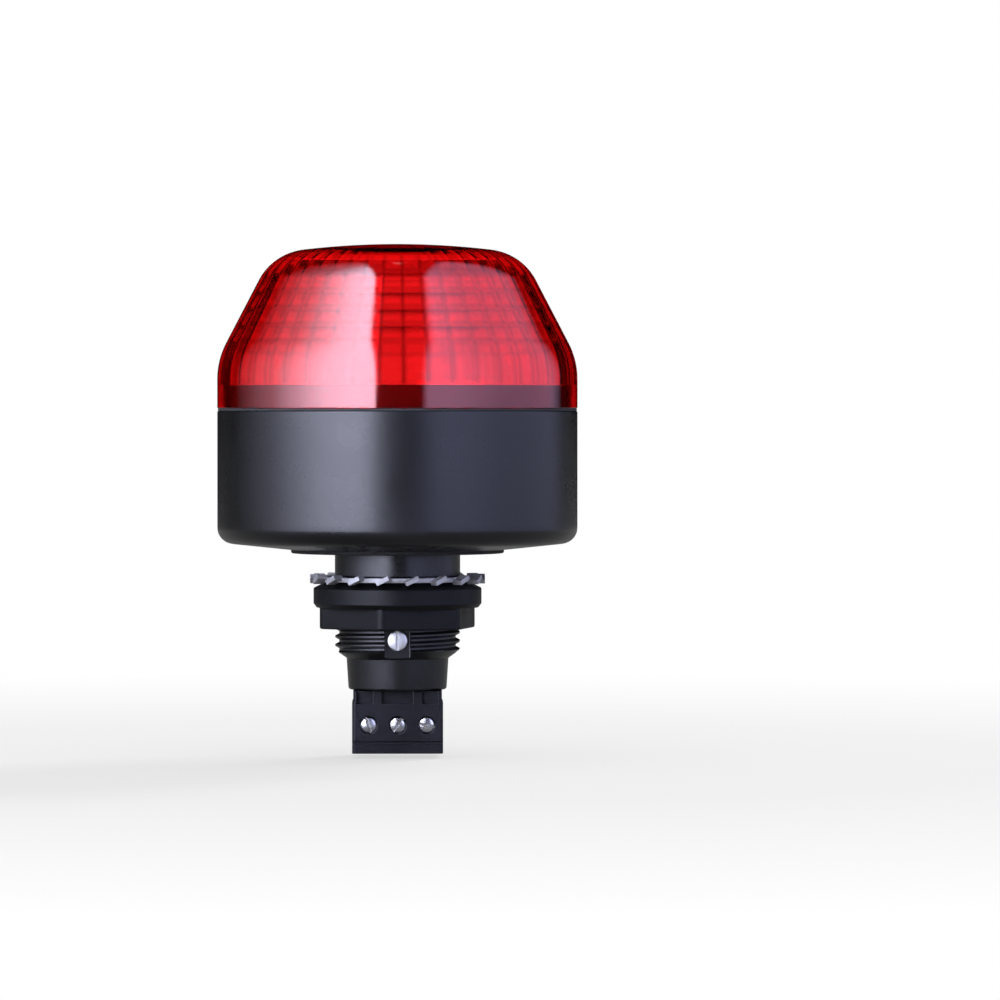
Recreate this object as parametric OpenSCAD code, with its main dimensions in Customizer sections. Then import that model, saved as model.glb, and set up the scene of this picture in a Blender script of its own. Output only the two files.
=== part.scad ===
// Panel pilot light: a red prismatic lens on a black round housing, held in a 22 mm panel hole
// by a flange nut and a toothed washer, with a plug-in screw terminal under the stem.
// The origin is on the stem's axis at the panel face, under the gasket; +Z points out of the panel.

/* [Head] */
// Outside diameter of the housing and the lens
head_d = 63.2; // [60:0.1:72]
// Height of the ledge that carries the lens, above the panel
base_h = 24.9; // [24:0.1:34]
// Wall thickness of the housing
base_wall = 2.2; // [1.8:0.1:2.6]
// Thickness of the housing floor over the gasket
floor_t = 1.8; // [1.4:0.1:2.6]
// Radius of the housing's lower edge
base_round = 2.8; // [1.5:0.1:3.6]
// Angle at which the underside rises towards the rim
underside_angle = 6; // [2:0.5:9]
// Height of the spigot above the ledge
spigot_h = 4.5; // [3.5:0.1:6]
// Wall thickness of the spigot
spigot_wall = 1.7; // [1.2:0.1:2]

/* [Lens] */
// Wall thickness of the lens at its thinnest
lens_wall = 2.3; // [1.9:0.1:2.8]
// Height of the straight band at the foot of the lens
belt_h = 5.1; // [4.8:0.1:8]
// Radius that turns the straight band into the cone
belt_round = 13.8; // [8:0.1:15]
// Slope of the cone, measured from the axis
cone_angle = 27.5; // [20:0.5:32]
// Length of the cone along its slope
cone_len = 12.4; // [9:0.1:13.5]
// Radius of the shoulder between the cone and the crown
shoulder_round = 10; // [7:0.1:11]
// Slope of the crown where it meets the shoulder
crown_slope = 6.8; // [5:0.1:9]
// Number of prism columns around the inside
prism_columns = 45; // [30:1:60]
// Depth of the prisms
prism_depth = 0.4; // [0.2:0.05:0.6]
// Height of the plain flutes at the foot, along the wall
flute_run = 7.6; // [6:0.1:10]
// Height of one row of prisms, along the wall
row_pitch = 3.25; // [2.6:0.05:4]
// Thickness of the flat seal between the lens and the housing
seal_t = 0.5; // [0.3:0.1:1]

/* [Stem] */
// Diameter of the plain neck that centres the stem in the panel hole
neck_d = 22; // [21.8:0.05:22.2]
// Length of the neck below the panel face
neck_len = 4; // [2:0.1:4]
// Length of the thread below the neck
thread_len = 13.5; // [11:0.1:20]
// How far the mean surface of the thread lies inside the neck
thread_relief = 0.2; // [0.1:0.05:0.4]
// Diameter of the tail at its top
tail_top_d = 17.9; // [17.6:0.1:19]
// Diameter of the tail at its foot
tail_foot_d = 17.2; // [17:0.1:17.6]
// Length of the tail below the thread
tail_len = 6.4; // [6:0.1:9]
// Diameter of the bore that takes the contact carrier
stem_bore_d = 16.6; // [16.2:0.1:17]
// Width of the keyway in the front of the stem
key_w = 4.6; // [4.2:0.1:6]
// Height of the keyway above the foot of the thread
key_h = 6.5; // [5:0.1:9]

/* [Gasket, washer and nut] */
// Diameter of the panel gasket
gasket_d = 37.4; // [34:0.1:42]
// Thickness of the panel gasket
gasket_t = 2; // [1.6:0.1:2.6]
// Height of the gasket that stands out of its recess
gasket_show = 0.6; // [0.4:0.05:0.8]
// Distance from the panel face to the washer
grip = 4.1; // [4.1:0.1:6]
// Outside diameter of the washer over its teeth
washer_d = 30.7; // [29.5:0.1:32]
// Width of the washer's plain ring inside its teeth
washer_ring_w = 2.3; // [2:0.1:2.6]
// Thickness of the washer
washer_t = 0.8; // [0.6:0.05:0.9]
// Number of teeth on the washer
washer_teeth = 18; // [12:1:20]
// Twist of each tooth
tooth_twist = 24; // [15:1:26]
// Diameter of the nut's flange
nut_flange_d = 29.5; // [29:0.1:32]
// Height of the flange's straight rim
nut_flange_h = 2.7; // [2:0.1:3.5]
// Height of the chamfer on top of the flange
nut_chamfer_h = 1.2; // [1.2:0.1:1.6]
// Height of the whole nut
nut_h = 8.3; // [7.5:0.1:10]
// Width of the nut across its flats
nut_af = 25; // [24.4:0.1:26]
// Diameter to which the nut's corners are turned
nut_corner_d = 28.4; // [27:0.1:29]

/* [Terminal] */
// Distance between two poles of the terminal
pole_pitch = 5.08; // [5:0.01:5.2]
// Width of the terminal plug
plug_w = 15.9; // [15.7:0.1:17]
// Depth of the terminal plug, from its screw side to its back
plug_d = 12; // [11.6:0.1:13]
// Height of the terminal plug below the stem
plug_h = 11; // [11:0.1:13]
// Width of the plug's tongue
tongue_w = 13.2; // [13:0.1:13.4]
// Depth of the plug's tongue
tongue_d = 5.6; // [5.2:0.1:6]
// Length of the plug's tongue
tongue_len = 5.4; // [4.5:0.1:5.8]
// Diameter of a terminal screw's head
screw_head_d = 2.8; // [2.4:0.1:3.2]
// Height of the terminal screws above the plug's foot
screw_rise = 5; // [4.6:0.1:5.2]
// Diameter of a wire entry
wire_d = 2.6; // [2:0.1:2.6]
// Travel of a clamp cage from open to shut
cage_travel = 2.1; // [1.6:0.1:2.1]
// Thickness of the contact pins
pin_t = 1; // [0.8:0.05:1.1]

/* [Boards] */
// Thickness of both circuit boards
board_t = 1.6; // [1:0.1:2]
// Gap between the driver board and the spigot's bore that it is lowered through
driver_board_gap = 1.6; // [0.8:0.1:2.4]
// Gap between the diode board and the spigot's bore
led_board_gap = 0.6; // [0.4:0.1:1.5]
// Height of the bosses under the driver board
boss_h = 7.2; // [6:0.1:9]
// Diameter of the bosses
boss_d = 6.8; // [6:0.1:8]
// Distance of the bosses and spacers from the edge of the driver board
boss_inset = 6; // [4:0.1:7]
// Height of the diode board above the ledge that carries the lens
led_board_rise = 0.1; // [-0.5:0.1:1.5]
// Width of the hexagonal spacers across flats
spacer_af = 5.5; // [5:0.1:6]
// Diameter of the threads in the bosses and spacers
fixing_d = 2.5; // [2:0.1:3]
// Number of light emitting diodes in the ring
led_count = 12; // [6:1:12]
// Distance between the ring of diodes and the ring of spacers
led_inset = 6.5; // [5.5:0.1:7]
// Side of a diode's square body
led_w = 3.5; // [2.8:0.1:4]

/* [Hidden] */
FINE = 96;
SMALL = 32;
EPS = 0.01;
poles = [-1, 0, 1];
spacer_count = 3;
numbered = function(name, count) [for (i = [1:count]) str(name, "_", i)];

// Clearances between pieces that go together
lens_fit = 0.1;
seal_inset = 0.1;
gasket_fit = 0.3;
gasket_bore_gap = 0.3;
nut_fit = 0.05;
washer_fit = 0.3;
carrier_fit = 0.1;
pin_fit = 0.05;
plug_fit = 0.2;
contact_fit = 0.1;
cage_fit = 0.15;
screw_fit = 0.05;
board_hole_fit = 0.35;
seat_gap = 0.05;

// Head: radii and heights
head_r = head_d / 2;
spigot_r = head_r - base_wall - lens_fit;
spigot_bore_r = spigot_r - spigot_wall;
spigot_top = base_h + spigot_h;
recess_top = gasket_t;
recess_r = gasket_d / 2 + gasket_fit;
floor_top = recess_top + floor_t;
inner_r = head_r - base_wall;
inner_chamfer = 1.4;
throat_low = base_h - 3.2;
edge = 0.3;
rim_c = [head_r - base_round,
         gasket_show + base_round / cos(underside_angle)
         + (head_r - base_round - recess_r) * tan(underside_angle)];

// Lens: the outer curve is a straight band, an arc, a cone, an arc and a shallow crown
lens_foot = base_h + seal_t;
skirt_top = spigot_top + lens_fit;
belt_c = [head_r - belt_round, lens_foot + belt_h];
cone_foot = belt_c + belt_round * [cos(cone_angle), sin(cone_angle)];
cone_top = cone_foot + cone_len * [-sin(cone_angle), cos(cone_angle)];
shoulder_c = cone_top - shoulder_round * [cos(cone_angle), sin(cone_angle)];
crown_foot = shoulder_c + shoulder_round * [sin(crown_slope), cos(crown_slope)];
crown_round = crown_foot.x / sin(crown_slope);
crown_z = crown_foot.y - crown_round * cos(crown_slope);

// Lens: the inner surface follows the outer one, and is divided by its run along the wall
belt_in = belt_round - lens_wall;
shoulder_in = shoulder_round - lens_wall;
crown_in = crown_round - lens_wall;
run_belt = belt_c.y - skirt_top;
run_cone = run_belt + belt_in * cone_angle * PI / 180;
run_shoulder = run_cone + cone_len;
run_crown = run_shoulder + shoulder_in * (90 - crown_slope - cone_angle) * PI / 180;
plain_crown_r = 6;
row_count = floor((run_crown + crown_foot.x - plain_crown_r - flute_run) / row_pitch);
flute_rings = 5;

// Stem: radii and heights
neck_r = neck_d / 2;
neck_top = 0.2;
root_r = neck_r + 0.7;
thread_r = neck_r - thread_relief;
thread_foot = -neck_len - thread_len;
shoulder_h = 0.9;
tail_top = thread_foot - shoulder_h;
tail_foot = thread_foot - tail_len;
tail_edge = 0.5;
bore_r = stem_bore_d / 2;
bore_floor = thread_foot - 0.4;
key_floor = bore_r + 1;
socket_w = tongue_w + 2 * plug_fit;
socket_d = tongue_d + 2 * plug_fit;

// Contact carrier and its screw
carrier_h = 8;
carrier_screw_z = thread_foot + 2.45;
carrier_head_r = 1.75;
carrier_head_t = 0.8;
carrier_slot_w = 0.6;
carrier_shank_r = 0.9;
carrier_shank_len = 4.2;
carrier_screw_fit = 0.2;
solder_len = 1.4;
pin_foot = tail_foot + 1.1;

// Washer and nut
washer_top = -grip;
washer_foot = washer_top - washer_t;
washer_bore_r = neck_r + washer_fit;
washer_ring_r = washer_bore_r + washer_ring_w;
tooth_root_r = washer_ring_r - 0.2;
tooth_w = 2.4;
nut_top = washer_foot;
nut_bore_r = neck_r + nut_fit;
nut_face_r = washer_ring_r - 1.3;
nut_foot = nut_top - nut_h;
nut_rim_foot = nut_top - nut_chamfer_h - nut_flange_h;
nut_step_h = 0.7;
nut_edge = 0.3;
nut_turn_at_rest = -12;

// Terminal plug
plug_top = tail_foot - seat_gap;
plug_foot = plug_top - plug_h;
plug_front = -plug_d / 2;
plug_waist = 0.2;
plug_waist_h = 2;
plug_edge = 0.4;
tongue_top = plug_top + tongue_len;
rib_x = 3.5;
rib_w = 1.5;
pocket_h = 2.3;
pocket_depth = 1.2;
pocket_margin = 0.8;
foot_groove_z = 1.6;
foot_groove_h = 0.5;
foot_groove_depth = 0.3;
screw_z = plug_foot + screw_rise;
screw_r = screw_head_d / 2;
screw_sink = 0.4;
screw_head_t = 1.2;
screw_slot_w = 0.5;
screw_slot_depth = 0.5;
shank_r = 1.2;
head_back = plug_front + screw_sink + screw_head_t;

// Clamp cage and plug contact, from the screw side to the back
cage_wall = 1;
cage_side = 0.35;
cage_half_w = 1.85;
cage_h = 3.8;
bar_t = 0.8;
receptacle_w = pin_t + 2 * pin_fit + 1;
bar_half_w = receptacle_w / 2;
cage_front = head_back + cage_travel + seat_gap;
bar_front = cage_front + cage_wall + cage_fit;
bar_back = bar_front + bar_t;
cage_back = bar_back + wire_d;
cage_room_half_w = cage_half_w + cage_fit;
cage_room_back = cage_back + cage_wall + cage_fit;
cage_room_foot = screw_z - cage_h / 2 - 0.5;
cage_room_top = screw_z + cage_h / 2 + 0.5;
wire_y = bar_back + wire_d / 2;
wire_cone_h = 0.5;
receptacle_foot = cage_room_top + 1;
receptacle_top = tongue_top - 0.6;
bar_foot = cage_room_foot + 0.2;

// Boards and what stands on them
boss_top = floor_top + boss_h;
driver_z = boss_top + board_t;
led_board_foot = base_h + led_board_rise;
spacer_len = led_board_foot - driver_z;
led_z = led_board_foot + board_t;
led_board_r = spigot_bore_r - led_board_gap;
driver_board_r = spigot_bore_r - driver_board_gap;
boss_r = driver_board_r - boss_inset;
led_r = boss_r - led_inset;
fixing_r = fixing_d / 2;
stud_r = fixing_r - screw_fit;
board_hole_r = stud_r + board_hole_fit;
boss_hole_depth = 6;
stud_len = board_t + 5;
spacer_hole_depth = 5;
fixing_head_r = 2.75;
fixing_head_t = 1.8;
fixing_slot_w = 0.8;
link_w = 7.6;
link_d = 2.5;
link_y = -driver_board_r + 4.5;
side_part_x = 13;
side_part_y = 8;
cap_r = 4;
cap_headroom = 1.9;
cap_h = spacer_len - cap_headroom;
cap_groove_z = 1.8;
cap_groove = 0.4;
choke_r = 4.2;
choke_h = 8;
choke_rim_t = 1.2;
choke_core_r = choke_r - 1;
rectifier_y = -13;
rectifier_w = 8.4;
rectifier_d = 6.4;
rectifier_h = 3.2;
varistor_x = 9.5;
varistor_y = -14;
varistor_r = 3.6;
varistor_t = 3.6;
chip_y = 9;
chip_w = 5;
chip_d = 4;
chip_h = 1.5;
led_body_h = 0.9;
led_dome_r = led_w * 0.4;

function polar(c, r, a) = c + r * [cos(a), sin(a)];
function arc(c, r, from, to, steps) = [for (i = [0:steps]) polar(c, r, from + (to - from) * i / steps)];
function ring(r, a, z) = [r * cos(a), r * sin(a), z];
function spacer_angle(i) = 90 + (i - 1) * 360 / spacer_count;
function led_angle(i) = (i - 1) * 360 / led_count;

// A point of the lens's inner surface at a run along the wall, and a depth further in
function lens_inner(run, depth) =
    run < run_belt ? [belt_c.x + belt_in - depth, skirt_top + run]
    : run < run_cone ? polar(belt_c, belt_in - depth, (run - run_belt) / belt_in * 180 / PI)
    : run < run_shoulder ? polar(belt_c, belt_in - depth, cone_angle)
                           + (run - run_cone) * [-sin(cone_angle), cos(cone_angle)]
    : run < run_crown ? polar(shoulder_c, shoulder_in - depth,
                              cone_angle + (run - run_shoulder) / shoulder_in * 180 / PI)
    : polar([0, crown_z], crown_in - depth, 90 - crown_slope + (run - run_crown) / crown_in * 180 / PI);

// Each ring of the cavity is [run, true where it is the ridge between two rows]
function cavity_rings() = concat(
    [for (i = [0:flute_rings]) [flute_run * i / flute_rings, i == flute_rings]],
    [for (i = [1:2 * row_count]) [flute_run + row_pitch * i / 2, i % 2 == 0]]);

module at_pole(i) {
    translate([poles[i - 1] * pole_pitch, 0, 0]) children();
}

module rod_along_y(r, from, to, z) {
    translate([0, from, z]) rotate([-90, 0, 0]) cylinder(r = r, h = to - from, $fn = SMALL);
}

module block(w, d, from, to) {
    translate([-w / 2, -d / 2, from]) cube([w, d, to - from]);
}

// The hollow of the lens: flutes at the foot, then rows of four-sided prisms up to a plain crown
module lens_cavity() {
    rings = cavity_rings();
    count = 2 * prism_columns;
    points = [for (g = rings) for (j = [0:count - 1])
        let (p = lens_inner(g[0], g[1] || j % 2 == 1 ? prism_depth : 0))
        ring(p.x, j * 360 / count, p.y)];
    last = len(rings) - 1;
    foot = [[for (j = [0:count - 1]) j]];
    crown = [[for (j = [count - 1:-1:0]) last * count + j]];
    sides = [for (g = [0:last - 1]) for (j = [0:count - 1])
        let (a = g * count + j, b = g * count + (j + 1) % count)
        each [[a, a + count, b], [b, a + count, b + count]]];
    polyhedron(points = points, faces = concat(foot, sides, crown));
}

module lens() {
    color([0.75, 0.02, 0.06, 0.75]) difference() {
        rotate_extrude($fn = FINE) polygon(concat(
            [[0, lens_foot], [head_r, lens_foot]],
            arc(belt_c, belt_round, 0, cone_angle, 8),
            arc(shoulder_c, shoulder_round, cone_angle, 90 - crown_slope, 12),
            arc([0, crown_z], crown_round, 90 - crown_slope, 90, 4)));
        translate([0, 0, lens_foot - 1])
            cylinder(r = spigot_r + lens_fit, h = skirt_top + EPS - lens_foot + 1, $fn = FINE);
        lens_cavity();
    }
}

module lens_seal() {
    color("black") translate([0, 0, base_h]) difference() {
        cylinder(r = head_r - seal_inset, h = seal_t, $fn = FINE);
        translate([0, 0, -1]) cylinder(r = spigot_r + lens_fit, h = seal_t + 2, $fn = FINE);
    }
}

// The housing's cup, neck, thread and tail are one moulding, drawn as half a section
module housing_section() {
    polygon(concat(
        [[0, tail_foot],
         [tail_foot_d / 2 - tail_edge, tail_foot],
         [tail_foot_d / 2, tail_foot + tail_edge],
         [tail_top_d / 2, tail_top],
         [thread_r, thread_foot],
         [thread_r, -neck_len],
         [neck_r, -neck_len],
         [neck_r, neck_top],
         [root_r, neck_top],
         [root_r, recess_top],
         [recess_r, recess_top],
         [recess_r, gasket_show]],
        arc(rim_c, base_round, underside_angle - 90, 0, 8),
        [[head_r, base_h - edge],
         [head_r - edge, base_h],
         [spigot_r, base_h],
         [spigot_r, spigot_top - edge],
         [spigot_r - edge, spigot_top],
         [spigot_bore_r, spigot_top],
         [spigot_bore_r, throat_low],
         [inner_r, throat_low - (inner_r - spigot_bore_r)],
         [inner_r, floor_top + inner_chamfer],
         [inner_r - inner_chamfer, floor_top],
         [bore_r, floor_top],
         [bore_r, bore_floor],
         [0, bore_floor]]));
}

module housing() {
    color([0.1, 0.1, 0.12]) difference() {
        union() {
            rotate_extrude($fn = FINE) housing_section();
            for (i = [1:spacer_count]) rotate([0, 0, spacer_angle(i)])
                translate([boss_r, 0, floor_top - EPS]) cylinder(d = boss_d, h = boss_h + EPS, $fn = SMALL);
        }
        for (i = [1:spacer_count]) rotate([0, 0, spacer_angle(i)])
            translate([boss_r, 0, boss_top - boss_hole_depth])
                cylinder(r = fixing_r, h = boss_hole_depth + 1, $fn = SMALL);
        block(socket_w, socket_d, tail_foot - 1, bore_floor + 1);
        translate([-key_w / 2, -neck_r - 1, thread_foot - shoulder_h])
            cube([key_w, neck_r + 1 - key_floor, shoulder_h + key_h]);
        rod_along_y(carrier_shank_r + carrier_screw_fit, -key_floor - 1, -bore_r + 1, carrier_screw_z);
    }
}

module panel_gasket() {
    color("black") difference() {
        cylinder(d = gasket_d, h = gasket_t, $fn = FINE);
        translate([0, 0, -1]) cylinder(r = root_r + gasket_bore_gap, h = gasket_t + 2, $fn = FINE);
    }
}

module lock_washer() {
    tooth_len = washer_d / 2 - tooth_root_r;
    color("silver") difference() {
        union() {
            translate([0, 0, washer_foot]) cylinder(r = washer_ring_r, h = washer_t, $fn = FINE);
            for (i = [1:washer_teeth]) rotate([0, 0, i * 360 / washer_teeth])
                translate([tooth_root_r, 0, washer_foot + washer_t / 2]) rotate([tooth_twist, 0, 0])
                    translate([0, -tooth_w / 2, -washer_t / 2]) cube([tooth_len, tooth_w, washer_t]);
        }
        translate([0, 0, washer_foot - 1]) cylinder(r = washer_bore_r, h = washer_t + 2, $fn = FINE);
    }
}

module mounting_nut() {
    flange_r = nut_flange_d / 2;
    corner_r = nut_corner_d / 2;
    step_foot = nut_rim_foot - nut_step_h;
    color([0.12, 0.12, 0.14]) difference() {
        union() {
            rotate_extrude($fn = FINE) polygon([
                [0, step_foot],
                [corner_r, step_foot],
                [flange_r, nut_rim_foot],
                [flange_r, nut_top - nut_chamfer_h],
                [nut_face_r, nut_top],
                [0, nut_top]]);
            intersection() {
                translate([0, 0, nut_foot]) rotate([0, 0, nut_turn_at_rest + 30])
                    cylinder(d = nut_af / cos(30), h = step_foot - nut_foot + EPS, $fn = 6);
                rotate_extrude($fn = FINE) polygon([
                    [0, nut_foot],
                    [corner_r - nut_edge, nut_foot],
                    [corner_r, nut_foot + nut_edge],
                    [corner_r, step_foot + 1],
                    [0, step_foot + 1]]);
            }
        }
        translate([0, 0, nut_foot - 1]) cylinder(r = nut_bore_r, h = nut_h + 2, $fn = FINE);
    }
}

module contact_carrier() {
    pin_hole = pin_t + 2 * pin_fit;
    color([0.15, 0.15, 0.16]) difference() {
        translate([0, 0, bore_floor]) cylinder(r = bore_r - carrier_fit, h = carrier_h, $fn = FINE);
        for (i = [1:len(poles)]) at_pole(i)
            block(pin_hole, pin_hole, bore_floor - 1, bore_floor + carrier_h + 1);
        rod_along_y(carrier_shank_r + screw_fit, -bore_r - 1,
                           -key_floor + carrier_shank_len + 0.5, carrier_screw_z);
    }
}

module carrier_screw() {
    color("silver") difference() {
        union() {
            rod_along_y(carrier_head_r, -key_floor - carrier_head_t, -key_floor, carrier_screw_z);
            rod_along_y(carrier_shank_r, -key_floor - EPS, -key_floor + carrier_shank_len,
                               carrier_screw_z);
        }
        translate([-carrier_slot_w / 2, -key_floor - carrier_head_t - 1, carrier_screw_z - carrier_head_r - 1])
            cube([carrier_slot_w, 1 + carrier_head_t / 2, 2 * carrier_head_r + 2]);
    }
}

module contact_pin(i) {
    color("gold") at_pole(i) block(pin_t, pin_t, pin_foot, driver_z + solder_len);
}

// The outline of the plug seen from below, with its corners broken
module plug_outline(w, d) {
    x = w / 2;
    y = d / 2;
    polygon([[-x + plug_edge, -y], [x - plug_edge, -y], [x, -y + plug_edge], [x, y - plug_edge],
             [x - plug_edge, y], [-x + plug_edge, y], [-x, y - plug_edge], [-x, -y + plug_edge]]);
}

module plug_pocket(from, to) {
    translate([from, plug_front - 1, plug_top - pocket_h]) cube([to - from, pocket_depth + 1, pocket_h + 1]);
}

module pole_room() {
    // screw well, cage room, contact channel and wire entry of one pole
    rod_along_y(screw_r + cage_fit, plug_front - 1, head_back + EPS, screw_z);
    translate([-cage_room_half_w, head_back, cage_room_foot])
        cube([2 * cage_room_half_w, cage_room_back - head_back, cage_room_top - cage_room_foot]);
    block(receptacle_w + 2 * contact_fit, receptacle_w + 2 * contact_fit,
          cage_room_top - 1, receptacle_top + contact_fit);
    block(pin_t + 4 * pin_fit, pin_t + 4 * pin_fit, receptacle_top, tongue_top + 1);
    translate([0, wire_y, plug_foot - 1]) cylinder(d = wire_d, h = cage_room_foot - plug_foot + 2, $fn = SMALL);
    translate([0, wire_y, plug_foot - EPS])
        cylinder(d1 = wire_d + 2 * wire_cone_h, d2 = wire_d, h = wire_cone_h + EPS, $fn = SMALL);
}

module terminal_plug() {
    side_pocket = plug_w / 2 - pocket_margin;
    color([0.08, 0.08, 0.12]) difference() {
        union() {
            translate([0, 0, plug_foot]) linear_extrude(plug_h - plug_waist_h) plug_outline(plug_w, plug_d);
            translate([0, 0, plug_top - plug_waist_h - EPS]) linear_extrude(plug_waist_h + EPS)
                plug_outline(plug_w - 2 * plug_waist, plug_d);
            block(tongue_w, tongue_d, plug_top - EPS, tongue_top);
        }
        for (i = [1:len(poles)]) at_pole(i) pole_room();
        plug_pocket(-rib_x + rib_w / 2, rib_x - rib_w / 2);
        plug_pocket(-side_pocket, -rib_x - rib_w / 2);
        plug_pocket(rib_x + rib_w / 2, side_pocket);
        translate([-plug_w / 2 - 1, plug_front - 1, plug_foot + foot_groove_z])
            cube([plug_w + 2, foot_groove_depth + 1, foot_groove_h]);
    }
}

module plug_contact(i) {
    pin_hole = pin_t + 2 * pin_fit;
    color("gold") at_pole(i) difference() {
        union() {
            translate([-bar_half_w, bar_front, bar_foot]) cube([2 * bar_half_w, bar_t, receptacle_foot - bar_foot + EPS]);
            block(receptacle_w, receptacle_w, receptacle_foot, receptacle_top);
        }
        block(pin_hole, pin_hole, pin_foot - 0.5, receptacle_top + 1);
    }
}

module terminal_screw(i) {
    color("silver") at_pole(i) difference() {
        union() {
            rod_along_y(screw_r, plug_front + screw_sink, head_back, screw_z);
            rod_along_y(shank_r, head_back - EPS, bar_front - seat_gap, screw_z);
        }
        translate([-screw_slot_w / 2, plug_front - 1, screw_z - screw_r - 1])
            cube([screw_slot_w, 1 + screw_sink + screw_slot_depth, 2 * screw_r + 2]);
    }
}

module clamp_cage(i) {
    inner_half_w = cage_half_w - cage_side;
    color("silver") at_pole(i) difference() {
        translate([-cage_half_w, cage_front, screw_z - cage_h / 2])
            cube([2 * cage_half_w, cage_back + cage_wall - cage_front, cage_h]);
        translate([-inner_half_w, cage_front + cage_wall, screw_z - cage_h / 2 - 1])
            cube([2 * inner_half_w, cage_back - cage_front - cage_wall, cage_h + 2]);
        rod_along_y(shank_r + screw_fit, cage_front - 1, cage_front + cage_wall + 1, screw_z);
    }
}

module round_board(r, foot) {
    translate([0, 0, foot]) difference() {
        cylinder(r = r, h = board_t, $fn = FINE);
        for (i = [1:spacer_count]) rotate([0, 0, spacer_angle(i)])
            translate([boss_r, 0, -1]) cylinder(r = board_hole_r, h = board_t + 2, $fn = SMALL);
    }
}

module driver_board() {
    pin_hole = pin_t + 4 * pin_fit;
    color("darkgreen") difference() {
        round_board(driver_board_r, boss_top);
        for (i = [1:len(poles)]) at_pole(i) block(pin_hole, pin_hole, boss_top - 1, driver_z + 1);
    }
}

module led_board() {
    color("white") round_board(led_board_r, led_board_foot);
}

module spacer(i) {
    color("silver") rotate([0, 0, spacer_angle(i)]) translate([boss_r, 0, driver_z]) difference() {
        union() {
            cylinder(d = spacer_af / cos(30), h = spacer_len, $fn = 6);
            translate([0, 0, -stud_len]) cylinder(r = stud_r, h = stud_len + EPS, $fn = SMALL);
        }
        translate([0, 0, spacer_len - spacer_hole_depth])
            cylinder(r = fixing_r, h = spacer_hole_depth + 1, $fn = SMALL);
    }
}

module led_board_screw(i) {
    shank_len = board_t + spacer_hole_depth - 1;
    color("silver") rotate([0, 0, spacer_angle(i)]) translate([boss_r, 0, led_z]) difference() {
        union() {
            cylinder(r = fixing_head_r, h = fixing_head_t, $fn = SMALL);
            translate([0, 0, -shank_len]) cylinder(r = stud_r, h = shank_len + EPS, $fn = SMALL);
        }
        for (turn = [0, 90]) rotate([0, 0, turn])
            translate([-fixing_head_r * 0.6, -fixing_slot_w / 2, fixing_head_t / 2])
                cube([fixing_head_r * 1.2, fixing_slot_w, fixing_head_t]);
    }
}

module led(i) {
    color("lightyellow") rotate([0, 0, led_angle(i)]) translate([led_r, 0, led_z]) {
        block(led_w, led_w, 0, led_body_h);
        rotate_extrude($fn = SMALL) polygon(concat(
            [[0, led_body_h - EPS], [led_dome_r, led_body_h - EPS]],
            arc([0, led_body_h], led_dome_r, 0, 90, 6)));
    }
}

module board_link() {
    color([0.15, 0.15, 0.15]) translate([0, link_y, 0]) block(link_w, link_d, driver_z, led_board_foot);
}

module capacitor() {
    waist = cap_r - cap_groove;
    color([0.15, 0.2, 0.35]) translate([-side_part_x, side_part_y, driver_z]) rotate_extrude($fn = SMALL)
        polygon([[0, 0], [cap_r, 0], [cap_r, cap_groove_z - cap_groove], [waist, cap_groove_z],
                 [cap_r, cap_groove_z + cap_groove], [cap_r, cap_h - cap_groove], [waist, cap_h], [0, cap_h]]);
}

module choke() {
    color([0.45, 0.25, 0.12]) translate([side_part_x, side_part_y, driver_z]) rotate_extrude($fn = SMALL)
        polygon([[0, 0], [choke_r, 0], [choke_r, choke_rim_t], [choke_core_r, choke_rim_t],
                 [choke_core_r, choke_h - choke_rim_t], [choke_r, choke_h - choke_rim_t],
                 [choke_r, choke_h], [0, choke_h]]);
}

module rectifier() {
    color([0.1, 0.1, 0.1]) translate([0, rectifier_y, 0])
        block(rectifier_w, rectifier_d, driver_z, driver_z + rectifier_h);
}

module varistor() {
    color([0.1, 0.25, 0.6]) translate([varistor_x, varistor_y, 0])
        rod_along_y(varistor_r, -varistor_t / 2, varistor_t / 2, driver_z + varistor_r);
}

module driver_chip() {
    color([0.1, 0.1, 0.1]) translate([0, chip_y, 0]) block(chip_w, chip_d, driver_z, driver_z + chip_h);
}

lens();
lens_seal();
housing();
panel_gasket();
lock_washer();
mounting_nut();
contact_carrier();
carrier_screw();
terminal_plug();
driver_board();
led_board();
board_link();
capacitor();
choke();
rectifier();
varistor();
driver_chip();
for (i = [1:len(poles)]) {
    contact_pin(i);
    plug_contact(i);
    terminal_screw(i);
    clamp_cage(i);
}
for (i = [1:spacer_count]) {
    spacer(i);
    led_board_screw(i);
}
for (i = [1:led_count]) led(i);
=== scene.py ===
import math

import bmesh
import bpy
from bpy.props import FloatProperty, FloatVectorProperty, IntProperty, PointerProperty
from mathutils import Matrix, Vector


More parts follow.
